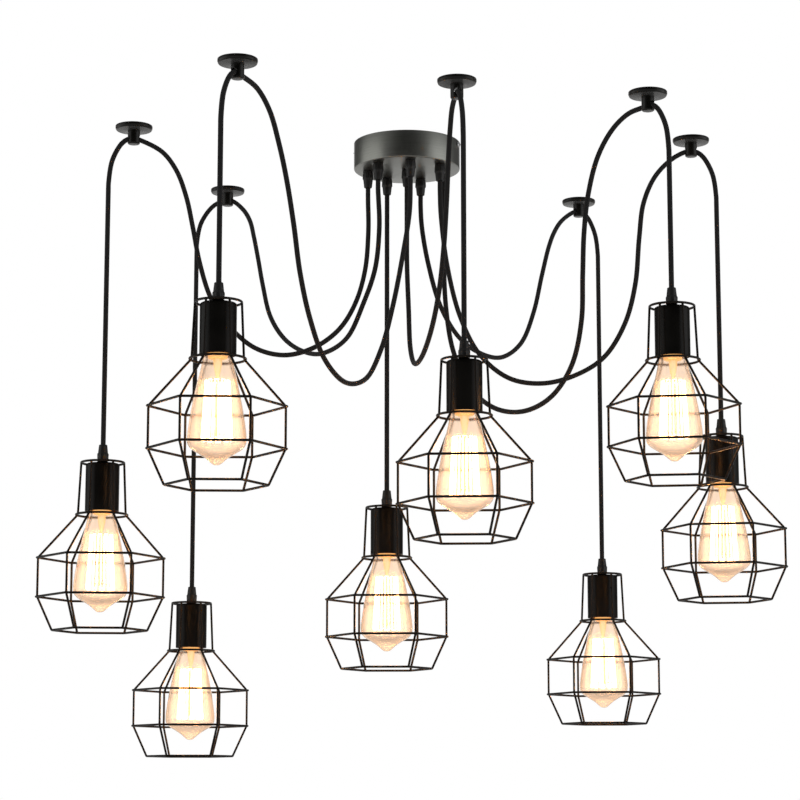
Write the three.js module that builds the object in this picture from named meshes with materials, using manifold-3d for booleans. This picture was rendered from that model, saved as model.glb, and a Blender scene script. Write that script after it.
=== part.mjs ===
// Cluster pendant light: a round ceiling canopy, seven ceiling hooks and eight caged lamps on long cords.
// All sizes are in millimetres. The ceiling is the plane z = 0, the canopy's centre is the origin, +Z is up.

import * as THREE from 'three';
import { mergeVertices } from 'three/addons/utils/BufferGeometryUtils.js';
import Module from 'manifold-3d';

const wasm = await Module();
wasm.setup();

// Clearances
const GAP = 0.3;
const CUT_OVERRUN = 2;
const OUTLET_EDGE_DISTANCE = 17;

// Sides of the round pieces
const CANOPY_SIDES = 24;
const HOOK_SIDES = 12;
const HOLDER_SIDES = 12;
const BULB_SIDES = 10;
const GRIP_SIDES = 8;
const SCREW_SIDES = 8;
const CORD_SIDES = 8;
const RING_SIDES = 12;
const WIRE_SIDES = 4;
const CAGE_RIBS = 6;

// Canopy
const CANOPY_DIAMETER = 132;
const CANOPY_HEIGHT = 34;
const CANOPY_WALL = 1.2;
const CANOPY_EDGE = 1.6;
const OUTLET_RING_COUNT = 7;
const FIRST_OUTLET_TURN = 172;

// Mounting bracket under the ceiling, inside the canopy
const BRACKET_WIDTH = 22;
const BRACKET_THICKNESS = 1.6;
const BRACKET_EAR_HEIGHT = 14;
const BRACKET_SLOT_WIDTH = 4.5;
const BRACKET_SLOT_LENGTH = 18;
const BRACKET_SLOT_PLACE = 30;

// Terminal block under the bracket
const TERMINAL_LENGTH = 42;
const TERMINAL_WIDTH = 17;
const TERMINAL_HEIGHT = 13;
const TERMINAL_COUNT = 3;
const TERMINAL_HOLE_DIAMETER = 5;
const TERMINAL_HOLE_DEPTH = 7;

// Side screws that hold the canopy to the bracket's ears, and the turn of the bracket from the X axis
const SIDE_SCREW_TURN = -18;
const SIDE_SCREW_DEPTH = 6.5;
const SIDE_SCREW_DIAMETER = 4;
const SIDE_SCREW_END = 2;
const SIDE_SCREW_HEAD_DIAMETER = 7;
const SIDE_SCREW_HEAD_HEIGHT = 2.4;
const SIDE_SCREW_HEAD_EDGE = 0.6;

// Cord grips, on the canopy's outlets and on each lamp
const GRIP_HEIGHT = 20.5;
const GRIP_BASE_DIAMETER = 12.5;
const GRIP_RIDGE_DIAMETER = 13.8;
const GRIP_SHOULDER_DIAMETER = 12;
const GRIP_TIP_DIAMETER = 9.7;
const GRIP_THREAD_DIAMETER = 9.6;
const GRIP_THREAD_LENGTH = 8;
const GRIP_PLATE_THICKNESS = 1.2;
const GRIP_PLATE_RIM = 7;

// Heights of a grip's ridge and shoulder, as shares of its height
const gripRidgeShare = 0.4;
const gripShoulderShare = 0.52;

// Ceiling hooks
const HOOK_SPREAD = 400;
const HOOK_PLATE_DIAMETER = 45;
const HOOK_PLATE_THICKNESS = 5.6;
const HOOK_PLATE_EDGE = 2.2;
const HOOK_STEM_DIAMETER = 15;
const HOOK_STEM_EDGE = 1.8;
const HOOK_HEIGHT = 23;
const HOOK_BORE_DIAMETER = 9.8;
const HOOK_BORE_DEPTH = 16.2;
const HOOK_SCREW_HOLE_DIAMETER = 3.2;
const HOOK_SCREW_HOLE_DEPTH = 7;

// Cords
const CORD_DIAMETER = 6;
const CORD_STEP = 20;
const CORD_LEAD = 14;
const CORD_END_TAPER = 1.5;
const CORD_REACH = 30;
const CORD_BORE_RISE = 0.8;
const CORD_BEND_DROP = 60;
const CORD_BEND_STEPS = 3;
const CORD_HANG_DEPTH = 80;
const CLUSTER_DEPTH = 534;

// Lamp holder and its socket
const HOLDER_DIAMETER = 40;
const HOLDER_HEIGHT = 57;
const HOLDER_WALL = 1.2;
const HOLDER_TOP = 3;
const SOCKET_DIAMETER = 34;
const SOCKET_BORE_DIAMETER = 28.4;
const SOCKET_BORE_DEPTH = 26;
const SOCKET_HEIGHT = 43;

// Wire cage: heights are measured down from its top ring
const WIRE_DIAMETER = 2.8;
const CAGE_TOP_RADIUS = 25.2;
const CAGE_NECK_RADIUS = 28;
const CAGE_HEX_RADIUS = 73;
const CAGE_BOTTOM_RADIUS = 55.6;
const CAGE_NECK_DROP = 62;
const CAGE_UPPER_DROP = 113;
const CAGE_LOWER_DROP = 159;
const CAGE_BOTTOM_DROP = 198;
const CAGE_WELD_DEPTH = 0.5;
const STRAP_WIDTH = 12;
const STRAP_THICKNESS = 1.5;

// Bulb: a teardrop glass that narrows into a screw cap
const BULB_DIAMETER = 64;
const BULB_GLASS_LENGTH = 119;
const BULB_GLASS_WALL = 1.2;
const BULB_NECK_LENGTH = 9;
const BULB_CAP_DIAMETER = 26.4;
const BULB_CAP_HEIGHT = 24;
const BULB_CONTACT_DIAMETER = 10;
const BULB_CONTACT_HEIGHT = 2;
const BULB_VENT_DIAMETER = 3;

// Glass outline from the tip up: shares of the bulb's radius and of the glass length
const bulbOutlineShares = [[0.36, 0.965], [0.8, 0.875], [1, 0.75], [0.93, 0.57], [0.74, 0.32], [0.5, 0]];

// Lamps that hang from a hook: outlet number, hook place in shares of the hooks' spread, turn of the hook's
// bore, reach of the bend, lamp depth, turn of the cage on its grip, and the cord's route from the canopy to
// the hook, chosen by hand
const hungLampShares = [
  {
    lamp: 1, outlet: 0, hookShares: [-0.83, -0.205], turn: 17, reachShare: 1, depthShare: 0.736,
    cageTurn: 5.3,
    route: [[-48, 7, -110], [-52, 6, -160], [-64, 2, -203], [-84, -4, -237], [-115, -15, -262],
      [-150, -26, -273], [-185, -36, -266], [-215, -45, -242], [-238, -52, -208], [-252, -56, -165],
      [-261, -60, -120], [-269, -62, -84], [-281, -66, -52], [-298, -72, -30]],
  },
  {
    lamp: 2, outlet: 2, hookShares: [-0.47, -0.88], turn: 58, reachShare: 1, depthShare: 0.483,
    cageTurn: 2.6,
    route: [[3, -51, -100], [-5, -63, -155], [-17, -81, -222], [-31, -104, -280], [-49, -133, -321],
      [-72, -168, -331], [-95, -203, -310], [-111, -229, -268], [-122, -246, -218], [-129, -257, -165],
      [-137, -270, -115], [-145, -283, -78], [-155, -299, -44], [-168, -320, -24]],
  },
  {
    lamp: 3, outlet: 1, hookShares: [-0.6, 0.57], turn: -10, reachShare: 1.4, depthShare: 1,
    cageTurn: 3.2,
    route: [[-35, -34, -80], [-34, -35, -115], [-39, -29, -165], [-54, -10, -206], [-74, 16, -243],
      [-104, 52, -256], [-130, 87, -248], [-157, 120, -225], [-177, 145, -190], [-188, 160, -145],
      [-195, 173, -108], [-202, 189, -74], [-208, 204, -50], [-218, 218, -31]],
  },
  {
    lamp: 5, outlet: 7, hookShares: [0.14, -0.69], turn: 102, reachShare: 1, depthShare: 0.577,
    cageTurn: -3.4,
    route: [[0, 0, -100], [0, -2, -152], [2, -11, -212], [4, -30, -265], [9, -62, -290],
      [18, -105, -288], [29, -152, -262], [37, -185, -224], [42, -205, -178], [45, -216, -130],
      [47, -224, -84], [49, -233, -48], [51, -248, -27]],
  },
  {
    lamp: 6, outlet: 5, hookShares: [0.59, 0.725], turn: 208, reachShare: 1, depthShare: 0.918,
    cageTurn: -6.6,
    route: [[19, 48, -95], [27, 57, -140], [43, 75, -192], [67, 101, -227], [97, 135, -242],
      [125, 168, -240], [151, 195, -216], [169, 216, -170], [181, 230, -118], [192, 244, -74],
      [201, 258, -50], [212, 272, -32]],
  },
  {
    lamp: 7, outlet: 4, hookShares: [0.695, -0.565], turn: 134, reachShare: 1, depthShare: 0.442,
    cageTurn: -8.4,
    route: [[46, 15, -120], [48, 13, -200], [57, 4, -262], [76, -16, -310], [106, -47, -342],
      [140, -82, -351], [171, -115, -338], [193, -138, -305], [204, -148, -255], [206, -151, -200],
      [208, -153, -150], [213, -159, -105], [224, -170, -62], [240, -187, -34], [257, -204, -20]],
  },
  {
    lamp: 8, outlet: 3, hookShares: [0.88, -0.06], turn: 180, reachShare: 1, depthShare: 0.659,
    cageTurn: -9.5,
    route: [[42, -27, -100], [50, -27, -165], [66, -27, -228], [90, -27, -274], [125, -27, -302],
      [165, -26, -308], [205, -26, -298], [240, -26, -276], [266, -26, -235], [280, -26, -185],
      [286, -25, -125], [292, -25, -82], [307, -25, -48], [328, -24, -26]],
  },
];

// The one lamp that hangs straight from its outlet
const straightLamp = { lamp: 4, outlet: 6, depthShare: 0.807, cageTurn: -1.5 };

// Sizes that follow from the ones above
const canopyRadius = CANOPY_DIAMETER / 2;
const outletRingRadius = canopyRadius - OUTLET_EDGE_DISTANCE;
const canopyInnerFlat = (canopyRadius - CANOPY_WALL) * Math.cos(Math.PI / CANOPY_SIDES);
const canopyFloorTop = -CANOPY_HEIGHT + CANOPY_WALL;
const stemRadius = HOOK_STEM_DIAMETER / 2;
const cordRadius = CORD_DIAMETER / 2;
const wireRadius = WIRE_DIAMETER / 2;
const threadRadius = GRIP_THREAD_DIAMETER / 2;
const canopyGripBase = -CANOPY_HEIGHT - GAP;
const canopyGripTip = canopyGripBase - GRIP_HEIGHT;
const screwRadius = SIDE_SCREW_DIAMETER / 2;

// Heights within a lamp, measured from its cord grip's tip
const lampGripBase = -GRIP_HEIGHT;
const strapTop = lampGripBase - GAP;
const cageTop = strapTop - STRAP_THICKNESS / 2;
const holderTop = strapTop - STRAP_THICKNESS - GAP;
const holderBottom = holderTop - HOLDER_HEIGHT;
const glassTip = holderBottom - BULB_GLASS_LENGTH;
const capBase = holderBottom + BULB_NECK_LENGTH;
const capTop = capBase + BULB_CAP_HEIGHT;

// A closed solid made from a geometry, ready to be joined or cut
function toSolid(geometry) {
  const bare = geometry.index ? geometry.toNonIndexed() : geometry.clone();
  bare.deleteAttribute('normal');
  bare.deleteAttribute('uv');
  const merged = mergeVertices(bare);
  const corners = merged.index.array;
  const triangles = [];
  for (let i = 0; i < corners.length; i += 3) {
    const [a, b, c] = [corners[i], corners[i + 1], corners[i + 2]];
    if (a !== b && b !== c && c !== a) triangles.push(a, b, c);
  }
  return new wasm.Manifold(new wasm.Mesh({
    numProp: 3,
    vertProperties: new Float32Array(merged.attributes.position.array),
    triVerts: new Uint32Array(triangles),
  }));
}

// The geometry of a finished solid
function toGeometry(solid) {
  const mesh = solid.getMesh();
  const geometry = new THREE.BufferGeometry();
  geometry.setAttribute('position', new THREE.BufferAttribute(mesh.vertProperties, 3));
  geometry.setIndex(new THREE.BufferAttribute(mesh.triVerts, 1));
  geometry.computeVertexNormals();
  return geometry;
}

// One solid joined from several
function joined(solids) {
  return solids.reduce((whole, next) => whole.add(next));
}

// Corner radius of a polygon whose flats lie at a radius
function cornerRadius(flatRadius, sides) {
  return flatRadius / Math.cos(Math.PI / sides);
}

// Outline in radius and height turned about the Z axis; it runs upwards on its outer side
function turned(outline, sides) {
  const points = outline.map(([radius, height]) => new THREE.Vector2(radius, height));
  return new THREE.LatheGeometry(points, sides).rotateX(Math.PI / 2);
}

// Upright cylinder between two heights
function column(radius, low, high, sides) {
  return turned([[0, low], [radius, low], [radius, high], [0, high]], sides);
}

// Wire ring about the Z axis: many sides make it round, six make it a hexagon with a corner on the X axis
function wireRing(radius, height, sides) {
  const outline = [];
  for (let i = 0; i <= WIRE_SIDES; i += 1) {
    const angle = i * 2 * Math.PI / WIRE_SIDES;
    outline.push([radius + wireRadius * Math.cos(angle), height + wireRadius * Math.sin(angle)]);
  }
  return turned(outline, sides).rotateZ(Math.PI / 2);
}

// Line that runs straight from point to point and is sampled at the points themselves
class BentLine extends THREE.Curve {
  constructor(points) {
    super();
    this.points = points;
  }

  getPoint(share, target = new THREE.Vector3()) {
    const place = share * (this.points.length - 1);
    const index = Math.min(Math.floor(place), this.points.length - 2);
    return target.lerpVectors(this.points[index], this.points[index + 1], place - index);
  }

  getPointAt(share, target) {
    return this.getPoint(share, target);
  }

  getTangentAt(share, target) {
    return this.getTangent(share, target);
  }

  getSpacedPoints(divisions) {
    return this.getPoints(divisions);
  }
}

// Regular section of a cord or wire, with a corner on each axis
function roundSection(radius, sides) {
  const corners = [];
  for (let i = 0; i < sides; i += 1) {
    const angle = i * 2 * Math.PI / sides;
    corners.push(new THREE.Vector2(radius * Math.cos(angle), radius * Math.sin(angle)));
  }
  return new THREE.Shape(corners);
}

function tube(path, radius, sides, steps) {
  return new THREE.ExtrudeGeometry(roundSection(radius, sides), { steps, extrudePath: path });
}

// Named mesh with a material of its own
function piece(name, geometry, finish) {
  const mesh = new THREE.Mesh(geometry, new THREE.MeshStandardMaterial(finish));
  mesh.name = name;
  return mesh;
}

const GUNMETAL = { color: 0x4b4d4c, roughness: 0.35, metalness: 0.9 };
const BLACK_METAL = { color: 0x17160f, roughness: 0.45, metalness: 0.6 };
const BLACK_PLASTIC = { color: 0x141412, roughness: 0.5, metalness: 0 };
const BLACK_CORD = { color: 0x262626, roughness: 0.9, metalness: 0 };
const ZINC = { color: 0xb4b6b8, roughness: 0.4, metalness: 0.9 };
const WHITE_PLASTIC = { color: 0xe8e4da, roughness: 0.5, metalness: 0 };
const AMBER_GLASS = { color: 0xffc98a, roughness: 0.1, metalness: 0, transparent: true, opacity: 0.5 };

// Place of an outlet on the canopy: the first seven lie on a ring, the last one at the centre
function outletPlace(index) {
  if (index === OUTLET_RING_COUNT) return new THREE.Vector2(0, 0);
  const angle = THREE.MathUtils.degToRad(FIRST_OUTLET_TURN + index * 360 / OUTLET_RING_COUNT);
  return new THREE.Vector2(Math.cos(angle), Math.sin(angle)).multiplyScalar(outletRingRadius);
}

// Holes for the cord grips' threads through a plate between two heights
function outletHoles(low, high) {
  const radius = cornerRadius(threadRadius + GAP, GRIP_SIDES);
  const holes = [];
  for (let i = 0; i <= OUTLET_RING_COUNT; i += 1) {
    const place = outletPlace(i);
    holes.push(toSolid(column(radius, low, high, GRIP_SIDES).translate(place.x, place.y, 0)));
  }
  return joined(holes);
}

// Holes for both side screws through everything out to the canopy's wall, turned from the X axis
function sideScrewHoles(turn) {
  const radius = cornerRadius(screwRadius + GAP, SCREW_SIDES);
  const reach = canopyRadius + CUT_OVERRUN;
  return toSolid(column(radius, -reach, reach, SCREW_SIDES).rotateY(Math.PI / 2)
    .rotateZ(THREE.MathUtils.degToRad(turn)).translate(0, 0, -SIDE_SCREW_DEPTH));
}

function canopyCup() {
  const inner = canopyRadius - CANOPY_WALL;
  const bottom = -CANOPY_HEIGHT;
  const shell = toSolid(turned([
    [0, bottom], [canopyRadius - CANOPY_EDGE, bottom], [canopyRadius, bottom + CANOPY_EDGE],
    [canopyRadius, 0], [inner, 0], [inner, bottom + CANOPY_EDGE],
    [inner - CANOPY_EDGE + CANOPY_WALL, canopyFloorTop], [0, canopyFloorTop],
  ], CANOPY_SIDES));
  const holes = outletHoles(bottom - CUT_OVERRUN, canopyFloorTop + CUT_OVERRUN);
  return toGeometry(shell.subtract(holes).subtract(sideScrewHoles(SIDE_SCREW_TURN)));
}

// The bracket's ears stand clear of the canopy's wall at their corners
const bracketReach = Math.sqrt((canopyInnerFlat - GAP) ** 2 - (BRACKET_WIDTH / 2) ** 2);

function mountingBracket() {
  const plate = toSolid(new THREE.BoxGeometry(2 * bracketReach, BRACKET_WIDTH, BRACKET_THICKNESS)
    .translate(0, 0, -BRACKET_THICKNESS / 2));
  const ears = [-1, 1].map((side) => toSolid(
    new THREE.BoxGeometry(BRACKET_THICKNESS, BRACKET_WIDTH, BRACKET_EAR_HEIGHT)
      .translate(side * (bracketReach - BRACKET_THICKNESS / 2), 0, -BRACKET_EAR_HEIGHT / 2)));
  const slots = [-1, 1].map((side) => toSolid(
    new THREE.BoxGeometry(BRACKET_SLOT_LENGTH, BRACKET_SLOT_WIDTH, BRACKET_THICKNESS + 2 * CUT_OVERRUN)
      .translate(side * BRACKET_SLOT_PLACE, 0, -BRACKET_THICKNESS / 2)));
  return toGeometry(joined([plate, ...ears]).subtract(joined(slots)).subtract(sideScrewHoles(0)));
}

function terminalBlock() {
  const top = -BRACKET_THICKNESS - GAP;
  const bottom = top - TERMINAL_HEIGHT;
  const block = toSolid(new THREE.BoxGeometry(TERMINAL_LENGTH, TERMINAL_WIDTH, TERMINAL_HEIGHT)
    .translate(0, 0, top - TERMINAL_HEIGHT / 2));
  const pitch = TERMINAL_LENGTH / TERMINAL_COUNT;
  const holes = [];
  for (let i = 0; i < TERMINAL_COUNT; i += 1) {
    const place = (i - (TERMINAL_COUNT - 1) / 2) * pitch;
    holes.push(toSolid(column(TERMINAL_HOLE_DIAMETER / 2, bottom - CUT_OVERRUN, bottom + TERMINAL_HOLE_DEPTH,
      SCREW_SIDES).translate(place, 0, 0)));
  }
  return toGeometry(block.subtract(joined(holes)));
}

// Side screw along +X, from its end inside the ear to its head outside the canopy
function sideScrew() {
  const headBase = canopyRadius + GAP;
  const end = bracketReach - BRACKET_THICKNESS - SIDE_SCREW_END;
  const headRadius = SIDE_SCREW_HEAD_DIAMETER / 2;
  const headTop = headBase + SIDE_SCREW_HEAD_HEIGHT;
  return turned([
    [0, end], [screwRadius, end], [screwRadius, headBase], [headRadius, headBase],
    [headRadius, headTop - SIDE_SCREW_HEAD_EDGE], [headRadius - SIDE_SCREW_HEAD_EDGE, headTop], [0, headTop],
  ], SCREW_SIDES).rotateY(Math.PI / 2).translate(0, 0, -SIDE_SCREW_DEPTH);
}

// Cord grip that stands on z = 0, with its tip up and its thread below
function cordGrip() {
  return turned([
    [0, -GRIP_THREAD_LENGTH], [threadRadius, -GRIP_THREAD_LENGTH], [threadRadius, 0],
    [GRIP_BASE_DIAMETER / 2, 0], [GRIP_RIDGE_DIAMETER / 2, GRIP_HEIGHT * gripRidgeShare],
    [GRIP_SHOULDER_DIAMETER / 2, GRIP_HEIGHT * gripShoulderShare], [GRIP_TIP_DIAMETER / 2, GRIP_HEIGHT],
    [0, GRIP_HEIGHT],
  ], GRIP_SIDES);
}

// The canopy's eight cord grips, held together by the plate that backs them inside the canopy
function canopyGrips() {
  const plateBottom = canopyFloorTop + GAP;
  const plate = toSolid(column(outletRingRadius + GRIP_PLATE_RIM, plateBottom,
    plateBottom + GRIP_PLATE_THICKNESS, CANOPY_SIDES));
  const grips = [];
  for (let i = 0; i <= OUTLET_RING_COUNT; i += 1) {
    const place = outletPlace(i);
    grips.push(toSolid(cordGrip().rotateX(Math.PI).translate(place.x, place.y, canopyGripBase)));
  }
  return toGeometry(joined([plate, ...grips]));
}

// Ceiling hook at the origin with its cord bore along X
function ceilingHook() {
  const plateRadius = HOOK_PLATE_DIAMETER / 2;
  const body = toSolid(turned([
    [0, -HOOK_HEIGHT], [stemRadius - HOOK_STEM_EDGE, -HOOK_HEIGHT],
    [stemRadius, HOOK_STEM_EDGE - HOOK_HEIGHT], [stemRadius, -HOOK_PLATE_THICKNESS],
    [plateRadius - HOOK_PLATE_EDGE, -HOOK_PLATE_THICKNESS],
    [plateRadius, HOOK_PLATE_EDGE - HOOK_PLATE_THICKNESS], [plateRadius, 0], [0, 0],
  ], HOOK_SIDES));
  const bore = toSolid(column(HOOK_BORE_DIAMETER / 2, -stemRadius - CUT_OVERRUN, stemRadius + CUT_OVERRUN,
    CORD_SIDES).rotateY(Math.PI / 2).translate(0, 0, -HOOK_BORE_DEPTH));
  const screwHole = toSolid(column(HOOK_SCREW_HOLE_DIAMETER / 2, -HOOK_SCREW_HOLE_DEPTH, CUT_OVERRUN,
    SCREW_SIDES));
  return toGeometry(body.subtract(bore).subtract(screwHole));
}

// Where a hung lamp's hook sits, which way its bore runs, and where its cord turns to hang straight down
function hookPlace(row) {
  return new THREE.Vector3(row.hookShares[0] * HOOK_SPREAD, row.hookShares[1] * HOOK_SPREAD, 0);
}

function boreDirection(row) {
  const angle = THREE.MathUtils.degToRad(row.turn);
  return new THREE.Vector3(Math.cos(angle), Math.sin(angle), 0);
}

function hangPlace(row) {
  return hookPlace(row).addScaledVector(boreDirection(row), -row.reachShare * CORD_REACH)
    .setZ(-CORD_HANG_DEPTH);
}

// Point beside the hook: along its bore and above or below the bore's axis
function besideHook(row, along, rise) {
  return hookPlace(row).addScaledVector(boreDirection(row), along).setZ(rise - HOOK_BORE_DEPTH);
}

// Point on the quarter ellipse that bends a cord down, from the middle of the bore (0) to straight down (90 degrees)
function bendPoint(row, angle) {
  return besideHook(row, -row.reachShare * CORD_REACH * Math.sin(angle),
    CORD_BORE_RISE - CORD_BEND_DROP * (1 - Math.cos(angle)));
}

// Line of a cord from its outlet, through its loop and the hook's bore, to where it hangs straight down
function loopPath(row) {
  const outlet = outletPlace(row.outlet);
  const start = new THREE.Vector3(outlet.x, outlet.y, canopyGripTip - GAP);
  const points = [start, start.clone().setZ(start.z - CORD_LEAD)];
  row.route.forEach(([x, y, z]) => points.push(new THREE.Vector3(x, y, z)));
  points.push(besideHook(row, stemRadius, -CORD_BORE_RISE), bendPoint(row, 0),
    bendPoint(row, Math.asin(stemRadius / (row.reachShare * CORD_REACH))));
  for (let i = 1; i <= CORD_BEND_STEPS; i += 1) points.push(bendPoint(row, i * Math.PI / 2 / CORD_BEND_STEPS));
  points.push(hangPlace(row));
  return new THREE.CatmullRomCurve3(points, false, 'centripetal');
}

// Looped cord with a ring at each point of its line, and more rings where two points lie far apart
function loopCord(row) {
  const line = loopPath(row);
  const last = line.points.length - 1;
  const places = [];
  for (let i = 0; i < last; i += 1) {
    const count = Math.max(1, Math.round(line.points[i].distanceTo(line.points[i + 1]) / CORD_STEP));
    for (let k = 0; k < count; k += 1) places.push(line.getPoint((i + k / count) / last));
  }
  places.push(line.points[last]);
  return tube(new BentLine(places), cordRadius, CORD_SIDES, places.length - 1);
}

// Straight cord from a grip's tip at the origin up to where it starts to hang; its end tapers to swing freely
function dropCord(length) {
  const top = length - GAP;
  return turned([
    [0, GAP], [cordRadius, GAP], [cordRadius, top - CORD_END_TAPER], [cordRadius - CORD_END_TAPER, top],
    [0, top],
  ], CORD_SIDES);
}

// Holder cup with the socket inside it, open below
function lampHolder() {
  const outer = HOLDER_DIAMETER / 2;
  const inner = outer - HOLDER_WALL;
  const socket = SOCKET_DIAMETER / 2;
  const bore = SOCKET_BORE_DIAMETER / 2;
  const socketBottom = holderTop - SOCKET_HEIGHT;
  const boreTop = socketBottom + SOCKET_BORE_DEPTH;
  const body = toSolid(turned([
    [0, boreTop], [bore, boreTop], [bore, socketBottom], [socket, socketBottom],
    [socket, holderTop - HOLDER_TOP], [inner, holderTop - HOLDER_TOP], [inner, holderBottom],
    [outer, holderBottom], [outer, holderTop], [0, holderTop],
  ], HOLDER_SIDES));
  const threadHole = toSolid(column(cornerRadius(threadRadius + GAP, HOLDER_SIDES),
    holderTop - GRIP_THREAD_LENGTH, holderTop + CUT_OVERRUN, HOLDER_SIDES));
  return toGeometry(body.subtract(threadHole));
}

// Rib of the cage along +X: down the neck, out over the shoulder, down and back in to the bottom ring
function cageRib() {
  const places = [
    [CAGE_TOP_RADIUS, 0], [CAGE_NECK_RADIUS, CAGE_NECK_DROP], [CAGE_HEX_RADIUS, CAGE_UPPER_DROP],
    [CAGE_HEX_RADIUS, CAGE_LOWER_DROP], [CAGE_BOTTOM_RADIUS, CAGE_BOTTOM_DROP],
  ];
  const points = places.map(([radius, drop]) => new THREE.Vector3(radius, 0, cageTop - drop));
  return tube(new BentLine(points), wireRadius, WIRE_SIDES, points.length - 1);
}

// Flat strap across the cage's top ring, with the hole that the cord grip's thread goes through
function cageStrap() {
  const strap = toSolid(new THREE.BoxGeometry(STRAP_WIDTH, 2 * CAGE_TOP_RADIUS, STRAP_THICKNESS)
    .translate(0, 0, cageTop));
  const hole = toSolid(column(cornerRadius(threadRadius + GAP, HOLDER_SIDES), holderTop, lampGripBase,
    HOLDER_SIDES));
  return strap.subtract(hole);
}

function wireCage() {
  const weld = WIRE_DIAMETER - CAGE_WELD_DEPTH;
  const rings = [
    wireRing(CAGE_TOP_RADIUS, cageTop, RING_SIDES),
    wireRing(CAGE_NECK_RADIUS + weld, cageTop - CAGE_NECK_DROP, RING_SIDES),
    wireRing(CAGE_HEX_RADIUS + weld, cageTop - CAGE_UPPER_DROP, CAGE_RIBS),
    wireRing(CAGE_HEX_RADIUS + weld, cageTop - CAGE_LOWER_DROP, CAGE_RIBS),
    wireRing(CAGE_BOTTOM_RADIUS, cageTop - CAGE_BOTTOM_DROP, CAGE_RIBS),
  ];
  const ribs = [];
  for (let i = 0; i < CAGE_RIBS; i += 1) ribs.push(cageRib().rotateZ(i * 2 * Math.PI / CAGE_RIBS));
  const wires = [...rings, ...ribs].map(toSolid);
  return toGeometry(joined([...wires, cageStrap()]));
}

// Bulb: a thin glass that opens through the cap, as one turned shell
function bulb() {
  const radius = BULB_DIAMETER / 2;
  const cap = BULB_CAP_DIAMETER / 2;
  const vent = BULB_VENT_DIAMETER / 2;
  const wall = BULB_GLASS_WALL;
  const contactTop = capTop + BULB_CONTACT_HEIGHT;
  const glass = bulbOutlineShares.map(([radiusShare, depthShare]) => [
    radius * radiusShare, holderBottom - BULB_GLASS_LENGTH * depthShare,
  ]);
  const inside = glass.map(([outer, height]) => [outer - wall, height]).reverse();
  return turned([
    [0, glassTip], ...glass, [cap, capBase], [cap, capTop], [BULB_CONTACT_DIAMETER / 2, contactTop],
    [vent, contactTop], [vent, capTop - wall], [cap - wall, capTop - wall], [cap - wall, capBase],
    ...inside, [0, glassTip + wall],
  ], BULB_SIDES);
}

// Parts that every lamp shares
const gripGeometry = cordGrip();
const holderGeometry = lampHolder();
const cageGeometry = wireCage();
const bulbGeometry = bulb();
const hookGeometry = ceilingHook();

// Lamp on its straight cord: the group's origin is at the cord grip's tip
function lamp(row, hang) {
  const depth = row.depthShare * CLUSTER_DEPTH;
  const group = new THREE.Group();
  const grip = piece(`cord_grip_${row.lamp}`, gripGeometry, BLACK_PLASTIC);
  grip.position.z = lampGripBase;
  const cage = piece(`wire_cage_${row.lamp}`, cageGeometry, BLACK_METAL);
  cage.rotation.z = THREE.MathUtils.degToRad(row.cageTurn);
  group.add(
    piece(`drop_cord_${row.lamp}`, dropCord(depth + hang.z), BLACK_CORD),
    grip,
    piece(`lamp_holder_${row.lamp}`, holderGeometry, BLACK_METAL),
    cage,
    piece(`bulb_${row.lamp}`, bulbGeometry, AMBER_GLASS),
  );
  group.position.set(hang.x, hang.y, -depth);
  return group;
}

// The canopy with its cord grips, and what holds it to the ceiling
function canopy() {
  const group = new THREE.Group();
  const fixing = new THREE.Group();
  const screws = ['right', 'left'].map((side, index) => {
    const screw = piece(`side_screw_${side}`, sideScrew(), ZINC);
    screw.rotation.z = index * Math.PI;
    return screw;
  });
  fixing.add(
    piece('mounting_bracket', mountingBracket(), ZINC),
    piece('terminal_block', terminalBlock(), WHITE_PLASTIC),
    ...screws,
  );
  fixing.rotation.z = THREE.MathUtils.degToRad(SIDE_SCREW_TURN);
  group.add(
    piece('canopy_cup', canopyCup(), GUNMETAL),
    piece('canopy_cord_grips', canopyGrips(), BLACK_PLASTIC),
    fixing,
  );
  return group;
}

const pendant = new THREE.Group();
pendant.add(canopy());
hungLampShares.forEach((row) => {
  const hook = piece(`ceiling_hook_${row.lamp}`, hookGeometry, BLACK_METAL);
  hook.position.copy(hookPlace(row));
  hook.rotation.z = THREE.MathUtils.degToRad(row.turn);
  pendant.add(hook, piece(`loop_cord_${row.lamp}`, loopCord(row), BLACK_CORD));
  pendant.add(lamp(row, hangPlace(row)));
});
const straightOutlet = outletPlace(straightLamp.outlet);
pendant.add(lamp(straightLamp, new THREE.Vector3(straightOutlet.x, straightOutlet.y, canopyGripTip)));

export default pendant;
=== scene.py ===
"""Cluster pendant light: a ceiling canopy, seven ceiling hooks and eight caged lamps on braided cords."""

import math

import bmesh
import bpy
from bpy.props import FloatProperty, FloatVectorProperty, IntProperty, PointerProperty
from bpy.types import Operator, Panel, PropertyGroup
from mathutils import Matrix, Vector


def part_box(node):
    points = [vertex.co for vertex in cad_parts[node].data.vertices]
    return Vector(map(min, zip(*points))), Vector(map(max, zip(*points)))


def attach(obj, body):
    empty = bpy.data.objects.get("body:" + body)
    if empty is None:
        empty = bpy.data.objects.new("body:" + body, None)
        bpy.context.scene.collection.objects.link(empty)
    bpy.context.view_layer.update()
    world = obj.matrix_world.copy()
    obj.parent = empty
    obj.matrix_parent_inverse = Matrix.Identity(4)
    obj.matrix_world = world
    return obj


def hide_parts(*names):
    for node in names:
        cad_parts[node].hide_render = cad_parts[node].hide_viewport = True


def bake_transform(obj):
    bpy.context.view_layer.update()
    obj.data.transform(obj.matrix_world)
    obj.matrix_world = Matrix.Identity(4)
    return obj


bl_info = {
    "name": "Cluster Pendant Light",
    "version": (1, 0, 0),
    "blender": (4, 5, 0),
    "location": "View3D > Sidebar > Pendant",
    "description": "Makes a ceiling canopy, its hooks and cords, and eight caged lamps",
    "category": "Add Mesh",
}

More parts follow.
